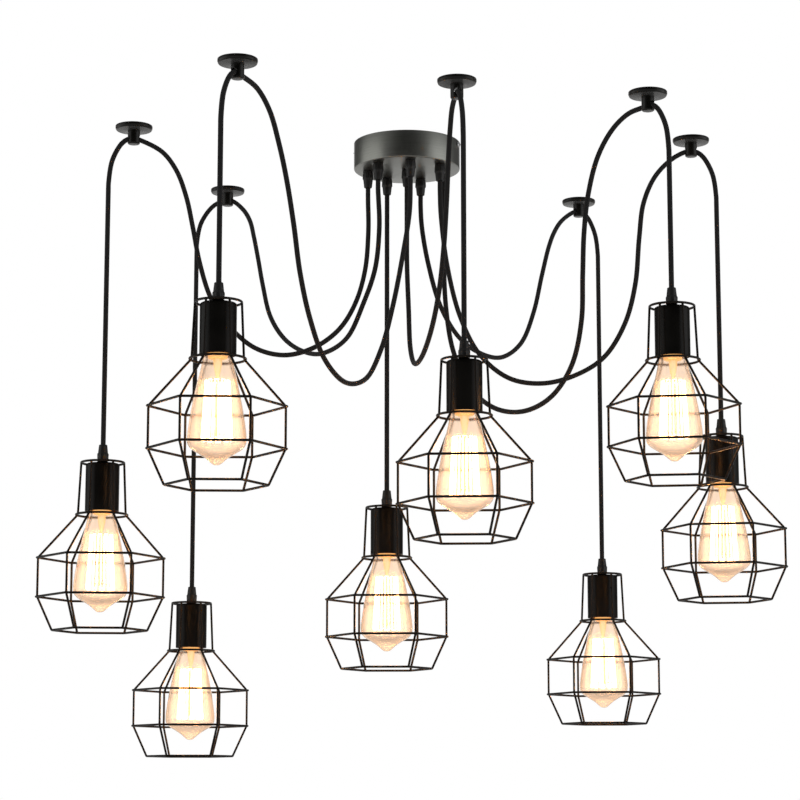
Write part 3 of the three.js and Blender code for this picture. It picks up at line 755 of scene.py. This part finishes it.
def lit_stem(lamps, name, front, edge):
    """Glass of the stem with a painted glow: its emission stands in for the filament's light in it, deeper
    amber where it is seen edge on.
    """
    look, tree, shader = blank(name, lamps.stem_base, 0.2)
    facing = node(tree, "ShaderNodeLayerWeight")["Facing"]
    mask = maths(tree, "MULTIPLY_ADD", noise(tree, 220.0, 2.0), 0.6, facing)
    tint = tinted(tree, mask, front, edge, 0.35, 1.1)
    # Painted glow: the emission stands in for the filament's light in the glass, with a mottled tint that is
    # deeper amber edge on
    feed(tree, shader, {"Emission Color": tint, "Emission Strength": lamps.stem_glow})
    return look


def glowing(lamps):
    """Burning carbon filament, with cooler and hotter stretches."""
    look, tree, shader = blank("burning_filament", lamps.glow, 0.6)
    tint = tinted(tree, noise(tree, 120.0, 1.0), shaded(lamps.glow, 0.85), lamps.glow)
    feed(tree, shader, {"Emission Color": tint, "Emission Strength": lamps.filament_strength})
    return look


def make_looks(scene):
    """Makes every material once."""
    finish_group("fine_grain", {"Scale": 900.0, "Depth": 0.00004}, fine_grain)
    finish_group("round_brushing", {"Fineness": 2600.0, "Depth": 0.00003}, round_brushing)
    braid_group()
    canopy, lamps, plastic = scene.pendant_canopy, scene.pendant_lamps, scene.pendant_grips.plastic
    enamel = (0.0, 800.0, 0.00003, 0.16, 0.3)
    LOOKS.update(
        canopy=brushed("satin_nickel", canopy.metal, 0.33),
        zinc=grained("bright_zinc", canopy.bracket_metal, 0.34, 1.0, 260.0, 0.00002, 0.25, 0.15),
        terminal=grained("white_insulation", canopy.terminal_colour, 0.5, 0.0, 700.0, 0.00003, 0.1, 0.04),
        grip=grained("black_nylon", plastic, 0.42, 0.0, 1400.0, 0.00005, 0.2, 0.3, 0.35),
        hook=grained("hook_enamel", scene.pendant_hooks.enamel, 0.24, *enamel, 0.2, 0.4),
        braid=braided(scene.pendant_cords),
        enamel=grained("satin_enamel", lamps.enamel, 0.30, *enamel, 0.15),
        # Holders use a darker copy of the enamel, painted shade against the bulbs' light on them
        cup=grained("holder_enamel", lamps.cup_enamel, 0.34, *enamel, 0.12),
        core=grained("black_core", plastic, 0.5, 0.0, 1200.0, 0.00004, 0.1, 0.3),
        brass=grained("brass_shell", lamps.brass, 0.32, 1.0, 400.0, 0.00002, 0.2, 0.2),
        nickel=grained("nickel_cap", lamps.nickel, 0.3, 1.0, 400.0, 0.00002, 0.2, 0.12),
        glass=bulb_glass(lamps),
        # The stem and the flare glow with painted light that stands for the filament's
        stem=lit_stem(lamps, "lit_stem", (1.0, 0.86, 0.55), (0.95, 0.52, 0.16)),
        flare=lit_stem(lamps, "lit_flare", (1.0, 0.62, 0.24), (0.90, 0.40, 0.10)),
        filament=glowing(lamps),
    )


# Stage


def area_lamp(name, place, width, power, tint):
    """Soft rectangular studio lamp that looks at the middle of the light."""
    data = bpy.data.lights.new(name, "AREA")
    data.shape, data.size, data.size_y = "RECTANGLE", width, 2.0
    data.energy, data.color = power, tint
    lamp = linked(name, data)
    lamp.location = place
    lamp.rotation_euler = (Vector((0.0, 0.0, -0.35)) - Vector(place)).to_track_quat("-Z", "Y").to_euler()


def eased(tree, value, low, high, first, last):
    """Value that goes smoothly from first to last while another goes from low to high."""
    values = {"Value": value, "From Min": low, "From Max": high, "To Min": first, "To Max": last}
    return node(tree, "ShaderNodeMapRange", values, interpolation_type="SMOOTHSTEP")[0]


def blended(tree, share, first, second):
    """Value between two others."""
    return node(tree, "ShaderNodeMix", {"Factor": share, 2: first, 3: second}, data_type="FLOAT")[0]


def behind_glass(tree, path):
    """1 for a ray that has passed glass."""
    return maths(tree, "MINIMUM", path["Transmission Depth"], 1.0)


def studio_world():
    """White behind the light, even light all round, and a room that gloss sees darker towards the camera."""
    world = bpy.data.worlds.new("studio")
    world.use_nodes = True
    bpy.context.scene.world = world
    tree = world.node_tree
    path = node(tree, "ShaderNodeLightPath")
    seen = maths(tree, "MAXIMUM", path["Is Camera Ray"], behind_glass(tree, path))
    depth = node(tree, "ShaderNodeSeparateXYZ", {0: node(tree, "ShaderNodeTexCoord")["Generated"]})["Y"]
    front, back = eased(tree, depth, -0.96, -0.56, 0.0, 0.3), eased(tree, depth, -0.1, 0.4, 0.3, 0.1)
    far = eased(tree, depth, 0.88, 0.96, 0.0, 1.0)
    room = maths(tree, "MAXIMUM", maths(tree, "MINIMUM", front, back), far)
    level = blended(tree, path["Is Glossy Ray"], 0.65, room)
    strength = blended(tree, seen, level, 1.0)
    feed(tree, tree.nodes["Background"], {"Strength": strength, "Color": (1.0, 1.0, 1.0, 1.0)})


class PENDANT_OT_stage(Operator):
    """Make the camera, the floor and the studio lamps"""

    bl_idname = "pendant.stage"
    bl_label = "Stage"

    def execute(self, context):
        scene, stage = context.scene, context.scene.pendant_stage
        scene.view_settings.view_transform = "Standard"
        data = bpy.data.cameras.new("camera")
        data.lens, data.sensor_width = stage.lens, 36.0
        data.clip_start, data.clip_end = 0.1, 60.0
        scene.camera = linked("camera", data)
        scene.camera.location = stage.camera_place
        scene.camera.rotation_euler = (QUARTER_TURN + stage.camera_tilt, 0.0, 0.0)
        studio_world()
        area_lamp("left_softbox", (-2.98, -0.31, -0.1), 3.2, stage.lamp_power, (1.0, 1.0, 0.98))
        area_lamp("right_softbox", (2.91, -0.73, -0.1), 2.9, stage.lamp_power * 1.1, (0.985, 0.99, 1.0))
        floor = bpy.data.meshes.new("floor")
        half, depth = stage.floor_width / 2, -stage.floor_depth
        corners = [(-half, -half, depth), (half, -half, depth), (half, half, depth), (-half, half, depth)]
        floor.from_pydata(corners, [], [(0, 1, 2, 3)])
        floor.materials.append(self.floor_look(stage.floor_colour))
        linked("floor", floor)
        return {"FINISHED"}

    def floor_look(self, base):
        """Pale floor that fades to white far off and behind glass, and that gloss sees dark close by."""
        look, tree, shader = blank("pale_floor", base, 0.9)
        feed(tree, shader, {"Base Color": tinted(tree, noise(tree, 3.0, 3.0), shaded(base, 0.985), base)})
        path = node(tree, "ShaderNodeLightPath")
        place = node(tree, "ShaderNodeTexCoord")["Object"]
        reach = node(tree, "ShaderNodeVectorMath", {0: place}, operation="LENGTH")["Value"]
        near = maths(tree, "MULTIPLY", eased(tree, reach, 0.9, 1.8, 1.0, 0.0), path["Is Glossy Ray"])
        far = maths(tree, "MULTIPLY", eased(tree, reach, 1.2, 2.0, 0.0, 1.0), path["Is Camera Ray"])
        dark = node(tree, "ShaderNodeEmission", {"Color": (0.04, 0.04, 0.04, 1.0)})[0]
        close = mixed_shader(tree, near, shader.outputs[0], dark)
        bare = maths(tree, "MAXIMUM", far, behind_glass(tree, path))
        both = mixed_shader(tree, bare, close, node(tree, "ShaderNodeEmission")[0])
        feed(tree, tree.nodes["Material Output"], {"Surface": both})
        return look


# Cords


def smooth_route(points, step):
    """Points every step along a centripetal Catmull-Rom curve through the given points."""
    ends = [points[0] * 2 - points[1], *points, points[-1] * 2 - points[-2]]
    fine = [points[0]]
    for before, here, there, after in zip(ends, ends[1:], ends[2:], ends[3:]):
        one, two, three = [
            math.sqrt((b - a).length) for a, b in ((before, here), (here, there), (there, after))
        ]
        lean_here = (here - before) / one - (there - before) / (one + two) + (there - here) / two
        lean_there = (there - here) / two - (after - here) / (two + three) + (after - there) / three
        lean_here, lean_there = lean_here * two, lean_there * two
        count = max(1, round((there - here).length / step))
        for index in range(1, count + 1):
            t = index / count
            fine.append(
                here
                + lean_here * t
                + (-3 * here + 3 * there - 2 * lean_here - lean_there) * t**2
                + (2 * here - 2 * there + lean_here + lean_there) * t**3
            )
    return fine


def loop_route(scene, number):
    """Line of a looped cord from inside its grip, through the hook's bore, to where it hangs straight."""
    cords, hooks = scene.pendant_cords, scene.pendant_hooks
    start = outlet_place(scene.pendant_canopy, OUTLETS[number])
    start.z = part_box("canopy_cord_grips")[0].z
    hook = middle_of(f"ceiling_hook_{number}")
    hook.z = -hooks.bore_depth
    tip = lamp_tip(number)
    away = Vector((tip.x - hook.x, tip.y - hook.y, 0.0))
    reach, half = away.length, hooks.stem / 2
    away.normalize()
    points = [start, start - Vector((0.0, 0.0, cords.lead))]
    points += [Vector([value / 1000 for value in place]) for place in ROUTES[number]]
    rise = Vector((0.0, 0.0, cords.bore_rise))
    points.append(hook - away * half - rise)
    for angle in (0.0, math.asin(half / reach), math.pi / 6, math.pi / 3, math.pi / 2):
        drop = Vector((0.0, 0.0, cords.bend_drop * (math.cos(angle) - 1)))
        points.append(hook + away * reach * math.sin(angle) + rise + drop)
    points.append(Vector((tip.x, tip.y, -cords.hang_depth)))
    return smooth_route(points, cords.step)


def drop_route(scene, number):
    """Straight line of a cord from where it starts to hang to its grip."""
    cords = scene.pendant_cords
    tip = lamp_tip(number)
    top = tip.copy()
    top.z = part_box("canopy_cord_grips")[0].z if number == STRAIGHT_LAMP else -cords.hang_depth
    count = round((top - tip).length / (2 * cords.step))
    return [top.lerp(tip, index / count) for index in range(count + 1)]


class PENDANT_OT_cords(Operator):
    """Make the braided cords from the canopy over the hooks to the lamps"""

    bl_idname = "pendant.cords"
    bl_label = "Cords"

    def execute(self, context):
        scene, cords = context.scene, context.scene.pendant_cords
        tree = sleeve_tree()
        for number in LAMPS:
            routes = {"drop": drop_route(scene, number)}
            if number in HUNG_LAMPS:
                routes["loop"] = loop_route(scene, number)
            for stretch, route in routes.items():
                name = f"{stretch}_cord_{number}"
                sizes = {"Radius": cords.diameter / 2, "Sides": CORD_SIDES}
                sleeve = grown(name, line_mesh(route), tree, "braid", sizes)
                body = "ceiling_set" if stretch == "loop" else None
                piece = show(f"braided_{name}", sleeve, None, "cord", [name], body)
                if stretch == "drop":
                    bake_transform(piece)
        return {"FINISHED"}


# Ceiling pieces


class PENDANT_OT_canopy(Operator):
    """Make the canopy cup, its side screws, the mounting bracket and the terminal block"""

    bl_idname = "pendant.canopy"
    bl_label = "Canopy"

    def execute(self, context):
        canopy, grips = context.scene.pendant_canopy, context.scene.pendant_grips
        low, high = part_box("canopy_cup")
        outer, inner, floor_top, rim = high.x, high.x - canopy.wall, low.z + canopy.wall, 0.0004
        cup = lathed("cup", [
            (0.0, low.z), (outer, low.z, canopy.edge), (outer, high.z, rim), (inner, high.z, rim),
            (inner, floor_top, canopy.edge - canopy.wall / 2), (0.0, floor_top),
        ], 128)
        hole = grips.thread / 2 + CLEARANCE
        for outlet in range(RING_OUTLETS + 1):
            place = outlet_place(canopy, outlet)
            cup = bored(cup, hole, low.z - DRILL_START, floor_top + DRILL_START, place)
        cup.transform(Matrix.Rotation(-canopy.fixing_turn, 4, "Z"))
        cup = self.side_bored(cup, canopy)
        cup.transform(Matrix.Rotation(canopy.fixing_turn, 4, "Z"))
        show("spun_canopy_cup", cup, "canopy", "canopy", ["canopy_cup"])
        self.side_screws(canopy, outer)
        self.bracket(canopy)
        self.terminals(canopy)
        return {"FINISHED"}

    def side_bored(self, mesh, canopy):
        """Mesh with the holes for both side screws."""
        bore, past_cup = 0.0023, 0.08
        return bored(mesh, bore, -past_cup, past_cup, (0.0, 0.0, -canopy.screw_depth), QUARTER_TURN)

    def side_screws(self, canopy, outer):
        """Pan head screws with a cross slot, from inside the ears to outside the cup."""
        head, base = canopy.screw_head / 2, outer + CLEARANCE
        top = base + canopy.screw_head_height
        past_ear, shank, slot_depth, slot_length, slot_width = 0.002, 0.0019, 0.0012, 0.0042, 0.0009
        end = canopy.bracket_reach - canopy.bracket_thickness - past_ear
        screw = lathed("screw", [
            (0.0, end), (shank, end, 0.0004), (shank, base), (head, base, 0.0002),
            (head, top, (top - base) * 0.7), (0.0, top),
        ], 40)
        for length, width in ((slot_length, slot_width), (slot_width, slot_length)):
            screw = cut(screw, box_shape((0.0, 0.0, top), (length, width, 2 * slot_depth)))
        screw.transform(Matrix.Rotation(QUARTER_TURN, 4, "Y"))
        for side, angle in (("right", 0.0), ("left", math.pi)):
            show(f"pan_screw_{side}", screw.copy(), "zinc", "zinc", [f"side_screw_{side}"],
                 place=(0.0, 0.0, -canopy.screw_depth), angle=canopy.fixing_turn + angle)

    def bracket(self, canopy):
        """Zinc strip with round-ended slots and bent ears."""
        reach, width, thick = canopy.bracket_reach, canopy.bracket_width, canopy.bracket_thickness
        strip = finished("strip", box_shape((0.0, 0.0, -thick / 2), (2 * reach, width, thick)))
        straight, half_slot = (canopy.slot_length - canopy.slot_width) / 2, canopy.slot_width / 2
        height, drill, ears = canopy.ear_height - thick, 0.005, []
        for side in (-1, 1):
            place = side * canopy.slot_place
            strip = cut(strip, box_shape((place, 0.0, 0.0), (2 * straight, canopy.slot_width, 2 * drill)))
            for end in (-straight, straight):
                strip = bored(strip, half_slot, -drill, drill, (place + end, 0.0, 0.0))
            middle = (side * (reach - thick / 2), 0.0, -thick - height / 2)
            ears.append(finished("ear", box_shape(middle, (thick, width, height))))
        bracket = joined("bracket", strip, self.side_bored(joined("ears", *ears), canopy))
        show("zinc_bracket", bracket, "zinc", "zinc", ["mounting_bracket"], place=(0.0, 0.0, 0.0),
             angle=canopy.fixing_turn)

    def terminals(self, canopy):
        """White terminal block with a brass screw in each well."""
        top = -canopy.bracket_thickness - CLEARANCE
        low, length = top - canopy.terminal_height, canopy.terminal_length
        spans = (length, canopy.terminal_width, canopy.terminal_height)
        block = finished("block", box_shape((0.0, 0.0, (low + top) / 2), spans))
        well, well_top = 0.0025, low + 0.007
        screw_radius, screw_low, screw_top = 0.0021, low + 0.004, low + 0.0068
        screw = lathed("terminal_screw", [
            (0.0, screw_low), (screw_radius, screw_low, 0.0003), (screw_radius, screw_top), (0.0, screw_top)
        ], 24)
        for index in (-1, 0, 1):
            place = Vector((index * length / 3, 0.0, 0.0))
            block = bored(block, well, low - DRILL_START, well_top, place)
            place.rotate(Matrix.Rotation(canopy.fixing_turn, 3, "Z"))
            show(f"terminal_screw_{index + 2}", screw.copy(), "brass", "terminal", place=place)
        show("terminal_body", block, "terminal", "terminal", ["terminal_block"], place=(0.0, 0.0, 0.0),
             angle=canopy.fixing_turn)


def grip_shape(grips):
    """Cord grip that stands on z = 0 with a fluted ridge, and a recess for the cord in its tip."""
    height, base, widest, tip = grips.height, grips.base / 2, grips.ridge / 2, grips.tip / 2
    ridge, shoulder, recess, recess_low = height * 0.4, height * 0.52, 0.0033, height - 0.0016
    fluted_from, fluted_to, flute_depth = 0.12, 0.5, 0.05

    def flute(angle, at):
        """Shallow flutes between the seat and the shoulder."""
        inside = fluted_from < abs(at) / height < fluted_to
        return 1.0 - (flute_depth * (0.5 + 0.5 * math.cos(grips.flutes * angle)) if inside else 0.0)

    return turned(rounded([
        (0.0, 0.0), (base, 0.0, 0.0005), (base * 1.01, height * 0.1), (base * 1.06, height * 0.13),
        (widest * 0.985, ridge * 0.8), (widest, ridge, 0.0006), (widest * 0.98, ridge * 1.18),
        (grips.shoulder / 2, shoulder), (grips.shoulder / 2 * 0.985, shoulder + 0.0012), (tip, height, 0.001),
        (recess, height, 0.0004), (recess, recess_low), (0.0, recess_low),
    ]), 72, flute)


def thread_ridges(root, crest, low, count, pitch=CAP_PITCH):
    """Outline points of a thread's ridges from a height up."""
    feet = [low + index * pitch for index in range(count)]
    return [point for foot in feet for point in ((root, foot), (crest, foot + pitch / 2))]


def threaded_shank(radius, low, high):
    """Rod with thread ridges between two heights."""
    pitch, root = 0.001, radius * 0.93
    count = max(1, int((high - low) / pitch))
    ridges = thread_ridges(root, radius, low, count, pitch)
    return finished("shank", turned([(0.0, low), *ridges, (root, high), (0.0, high)], 40))


def lock_nut(thread, low, high):
    """Hexagonal ring between two heights."""
    shape = turned([(thread, low), (NUT_REACH, low), (NUT_REACH, high), (thread, high)], 6)
    for vert in shape.verts:
        if vert.co.xy.length < (thread + NUT_REACH) / 2:
            vert.co.xy = vert.co.xy.normalized() * thread
    return finished("nut", shape)


class PENDANT_OT_grips(Operator):
    """Make the cord grips under the canopy with their shanks and lock nuts inside it"""

    bl_idname = "pendant.grips"
    bl_label = "Canopy grips"

    def execute(self, context):
        canopy, grips = context.scene.pendant_canopy, context.scene.pendant_grips
        low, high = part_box("canopy_cord_grips")
        seat, thread = low.z + grips.height, grips.thread / 2
        floor_top, nut_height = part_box("canopy_cup")[0].z + canopy.wall, 0.003
        nut_low = floor_top + 2 * TOUCH
        body = finished("body", moved(grip_shape(grips), (0.0, 0.0, seat), math.pi, "X"))
        parts = {
            "grip_body": (body, "grip", "grips", ["canopy_cord_grips"]),
            "grip_shank": (threaded_shank(thread, seat + TOUCH, high.z), "grip", "grips", ()),
            "grip_nut": (lock_nut(thread, nut_low, nut_low + nut_height), "zinc", "zinc", ()),
        }
        tree = ring_tree()
        for name, (middle, look, slot, replaced) in parts.items():
            around = middle.copy()
            around.transform(Matrix.Translation((canopy.outlet_ring, 0.0, 0.0)))
            sizes = {"Count": RING_OUTLETS, "First Turn": canopy.first_outlet}
            whole = joined(name, grown(name, around, tree, look, sizes), middle)
            show(f"canopy_{name}s", whole, look, slot, replaced)
        return {"FINISHED"}


class PENDANT_OT_hooks(Operator):
    """Make the ceiling hooks: a disc and a stem with a cross bore for the cord"""

    bl_idname = "pendant.hooks"
    bl_label = "Ceiling hooks"

    def execute(self, context):
        hooks = context.scene.pendant_hooks
        disc, stem, under = hooks.disc / 2, hooks.stem / 2, -hooks.disc_thickness
        screw_hole, screw_depth, past_stem = 0.0016, 0.007, 0.01
        hook = lathed("hook", [
            (0.0, -hooks.height), (stem, -hooks.height, 0.0018), (stem, under, 0.0008),
            (disc - 0.001, under, 0.0012), (disc, under * 0.55, 0.0008), (disc, 0.0, 0.0009),
            (screw_hole, 0.0), (screw_hole, -screw_depth), (0.0, -screw_depth),
        ], 96)
        place = (0.0, 0.0, -hooks.bore_depth)
        hook = bored(hook, hooks.bore / 2, -past_stem, past_stem, place, QUARTER_TURN, 40)
        for number in HUNG_LAMPS:
            name = f"ceiling_hook_{number}"
            place, tip = middle_of(name), lamp_tip(number)
            place.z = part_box(name)[1].z
            facing = math.atan2(tip.y - place.y, tip.x - place.x)
            show(f"enamelled_hook_{number}", hook.copy(), "hook", "hooks", [name], place=place, angle=facing)
        return {"FINISHED"}


# Lamps


class PENDANT_OT_holders(Operator):
    """Make each lamp's cord grip, holder cup, socket and lock nut"""

    bl_idname = "pendant.holders"
    bl_label = "Lamp holders"

    def execute(self, context):
        grips, lamps = context.scene.pendant_grips, context.scene.pendant_lamps
        low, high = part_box("lamp_holder_1")
        top, bottom = high.z - lamp_tip(1).z, low.z - lamp_tip(1).z
        outer, inner = lamps.holder / 2, lamps.holder / 2 - lamps.holder_wall
        thread, hole, under_top = grips.thread / 2, grips.thread / 2 + CLEARANCE, top - 0.0014
        cup = lathed("cup", [
            (hole, top), (hole, under_top), (inner, under_top, 0.001), (inner, bottom),
            (outer, bottom, 0.0004), (outer, top, 0.0022),
        ], 96)
        socket, socket_top, socket_low = lamps.socket / 2, top - 0.003, top - lamps.socket_height
        bore, shell_top = lamps.socket_bore / 2, top - lamps.socket_height + 0.026
        well_low = socket_top - 0.006
        core = lathed("core", [
            (0.0, shell_top), (bore, shell_top), (bore, socket_low, 0.0004), (socket, socket_low, 0.0008),
            (socket, socket_top, 0.001), (hole, socket_top, 0.0003), (hole, well_low), (0.0, well_low),
        ], 72)
        root, crest, shell_wall = bore - 0.0004, bore - TOUCH, 0.00008
        ridges = [(crest, socket_low + 0.001), *thread_ridges(root, crest, socket_low + 0.002, 6),
                  (crest, shell_top - 2 * TOUCH)]
        shell = turned(ridges + [(radius + shell_wall, height) for radius, height in reversed(ridges)], 64)
        bmesh.ops.recalc_face_normals(shell, faces=shell.faces)
        grip = finished("grip", moved(grip_shape(grips), (0.0, 0.0, -grips.height)))
        shank = threaded_shank(thread, top - 0.0078, -grips.height - TOUCH)
        show_on_lamps({
            "enamelled_holder": (cup, "cup", "lamp_metal", "lamp_holder"),
            "socket_core": (core, "core", "grips", None),
            "socket_shell": (finished("shell", shell), "brass", "lamp_metal", None),
            "nylon_grip": (grip, "grip", "grips", "cord_grip"),
            "grip_shank": (shank, "grip", "grips", None),
            "holder_nut": (lock_nut(thread, socket_top + TOUCH, under_top - TOUCH), "zinc", "zinc", None),
        }, "lamp")
        return {"FINISHED"}


class PENDANT_OT_cages(Operator):
    """Make the wire cages and the flat strap that hangs each one from its grip"""

    bl_idname = "pendant.cages"
    bl_label = "Wire cages"

    def execute(self, context):
        grips, lamps = context.scene.pendant_grips, context.scene.pendant_lamps
        level = -grips.height - CLEARANCE - lamps.strap / 2
        # The wires sink into each other where they are welded
        sunk, strap_width = 0.0007, 0.012
        weld, inside = lamps.wire - sunk, lamps.hex_ring + 0.0003
        # A ring's height under the strap, the ribs' reach there, and its own radius
        rings = {
            "Top": (0.0, lamps.top_ring, lamps.top_ring),
            "Neck": (-0.062, lamps.neck_ring, lamps.neck_ring + weld),
            "Upper": (-0.113, inside, lamps.hex_ring + weld),
            "Lower": (-0.159, inside, lamps.hex_ring + weld),
            "Bottom": (-0.198, lamps.bottom_ring, lamps.bottom_ring),
        }
        sizes = {"Wire Radius": lamps.wire / 2, "Ribs": 6, "Rib Bend": lamps.rib_bend}
        for ring, (height, _, radius) in rings.items():
            sizes |= {f"{ring} Radius": radius, f"{ring} Height": level + height}
        rib = line_mesh([Vector((reach, 0.0, level + height)) for height, reach, _ in rings.values()])
        cage = grown("cage", rib, cage_tree(), "enamel", sizes)
        spans, hole = (strap_width, 2 * lamps.top_ring, lamps.strap), grips.thread / 2 + CLEARANCE
        strap = finished("strap", box_shape((0.0, 0.0, level), spans))
        strap = bored(strap, hole, level - DRILL_START, level + DRILL_START, sides=32)
        for number in LAMPS:
            where = (f"lamp_{number}", lamp_tip(number), math.radians(CAGE_TURNS[number]))
            show(f"welded_cage_{number}", cage.copy(), None, "lamp_metal", [f"wire_cage_{number}"], *where)
            show(f"cage_strap_{number}", strap.copy(), "enamel", "lamp_metal", (), *where)
        return {"FINISHED"}


def inset(outline, wall):
    """Outline of (radius, height) points moved inwards by a wall, from one that runs up from the axis."""
    inner = [(0.0, outline[0][1] + wall)]
    for before, here, after in zip(outline, outline[1:], outline[2:]):
        run = Vector((after[0] - before[0], after[1] - before[1])).normalized()
        reach, height = here[0] - run.y * wall, here[1] + run.x * wall
        if reach > inner[-1][0] * 0.5 and height > inner[-1][1]:
            inner.append((reach, height))
    return inner


class PENDANT_OT_bulbs(Operator):
    """Make the bulbs: glass, screw cap, glass stem, supports and filament"""

    bl_idname = "pendant.bulbs"
    bl_label = "Bulbs"

    def execute(self, context):
        lamps = context.scene.pendant_lamps
        tip = lamp_tip(1)
        low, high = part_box("bulb_1")
        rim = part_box("lamp_holder_1")[0].z - tip.z
        length, radius = rim + tip.z - low.z, (high.y - low.y) / 2
        wall, step, cap = 0.0007, 0.0022, 0.0130
        root, neck = cap - 0.0008, cap - 2 * TOUCH
        cap_base, cap_top = rim + 0.009, high.z - tip.z - 0.002
        neck_top, insulation, button = cap_base + 0.003, cap_top - 0.0004, cap_top + 0.0018
        shares = [Vector((share * radius, 0.0, rim - depth * length)) for share, depth in GLASS_SHARES]
        outer = [(max(0.0, point.x), max(point.z, rim - length)) for point in smooth_route(shares, step)]
        outer += [(neck, cap_base), (neck, neck_top)]
        inner = [*inset(outer, wall), (neck - wall, neck_top)]
        cap_outline = [
            (0.0, cap_base + 0.0046), (cap - 0.0014, cap_base + 0.0046),
            (cap - TOUCH - wall, cap_base + 0.0004), (cap, cap_base + 0.0004),
            *thread_ridges(root, cap, neck_top, 5),
            (root, cap_top - 0.002), (0.0065, insulation), (0.0, insulation),
        ]
        contact = lathed("contact", [
            (0.0, cap_top - 0.0002), (0.0045, cap_top - 0.0002, 0.0005), (0.0042, button, 0.001),
            (0.0, button),
        ], 32)
        stem = lathed("stem", [
            (0.0, rim - 0.0885), (0.0016, rim - 0.0875, 0.0008), (0.0012, rim - 0.076), (0.0012, rim - 0.026),
            (0.0034, rim - 0.017, 0.002), (0.0046, rim - 0.009), (0.0046, rim - 0.0042), (0.0, rim - 0.0042),
        ], 32)
        flare = lathed("flare", [
            (0.0, rim - 0.004), (0.0106, rim - 0.004, 0.002), (0.0112, rim + 0.009, 0.003),
            (0.0, rim + 0.0092),
        ], 40)
        show_on_lamps({
            "bulb_glass": (finished("glass", turned(outer + inner[::-1], 72)), "glass", "bulb_glass", "bulb"),
            "bulb_cap": (finished("cap", turned(cap_outline, 64)), "nickel", "zinc", None),
            "bulb_contact": (contact, "brass", "zinc", None),
            "bulb_stem": (stem, "stem", "bulb_glass", None),
            "bulb_flare": (flare, "flare", "bulb_glass", None),
            "bulb_filament": (self.filament(lamps, rim), "filament", "bulb_glass", None),
            "bulb_supports": (self.supports(rim), "nickel", "zinc", None),
        }, "screwed_bulb")
        return {"FINISHED"}

    def filament(self, lamps, rim):
        """Wire that runs up and down round the stem."""
        # Reach and height of the upper and the lower turns
        ends = ((0.0130, rim - 0.028), (0.0165, rim - 0.092))
        strands, points = lamps.filament_strands, []
        for index in range(strands):
            angle = index * math.tau / strands
            high, low = [Vector((r * math.cos(angle), r * math.sin(angle), height)) for r, height in ends]
            points += [high, low] if index % 2 else [low, high]
        tree, sizes = bpy.data.node_groups["sleeve_along_line"], {"Radius": 0.0004, "Sides": FILAMENT_SIDES}
        return grown("filament", line_mesh(points), tree, "filament", sizes)

    def supports(self, rim):
        """Thin spokes that carry the filament's turns."""
        spokes, radius, start = [], 0.0002, 0.0008
        for height, reach, count in ((rim - 0.0275, 0.0128, 5), (rim - 0.0855, 0.0160, 11)):
            for index in range(count):
                spoke = moved(rod(radius, start, reach, FILAMENT_SIDES), angle=QUARTER_TURN, axis="Y")
                moved(spoke, (0.0, 0.0, height), index * math.tau / count)
                spokes.append(finished("spoke", spoke))
        return joined("supports", *spokes)


OPERATORS = (
    PENDANT_OT_stage,
    PENDANT_OT_cords,
    PENDANT_OT_canopy,
    PENDANT_OT_grips,
    PENDANT_OT_hooks,
    PENDANT_OT_holders,
    PENDANT_OT_cages,
    PENDANT_OT_bulbs,
)


class PENDANT_PT_panel(Panel):
    """Buttons and sizes of the cluster pendant light"""

    bl_idname = "PENDANT_PT_panel"
    bl_label = "Cluster Pendant Light"
    bl_space_type = "VIEW_3D"
    bl_region_type = "UI"
    bl_category = "Pendant"

    def draw(self, context):
        for operator in OPERATORS:
            self.layout.operator(operator.bl_idname)
        for name, group in GROUPS.items():
            box = self.layout.box()
            box.label(text=group.__doc__)
            for setting in group.__annotations__:
                box.prop(getattr(context.scene, name), setting)


CLASSES = (*GROUPS.values(), *OPERATORS, PENDANT_PT_panel)


def register():
    """Registers every class and hangs the settings on the scene."""
    for item in CLASSES:
        bpy.utils.register_class(item)
    for name, group in GROUPS.items():
        setattr(bpy.types.Scene, name, PointerProperty(type=group))


def unregister():
    """Takes the settings and the classes away again."""
    for name in GROUPS:
        delattr(bpy.types.Scene, name)
    for item in reversed(CLASSES):
        bpy.utils.unregister_class(item)


def main():
    """Makes the whole light."""
    register()
    make_looks(bpy.context.scene)
    for operator in OPERATORS:
        group, name = operator.bl_idname.split(".")
        getattr(getattr(bpy.ops, group), name)()


if __name__ == "__main__":
    main()
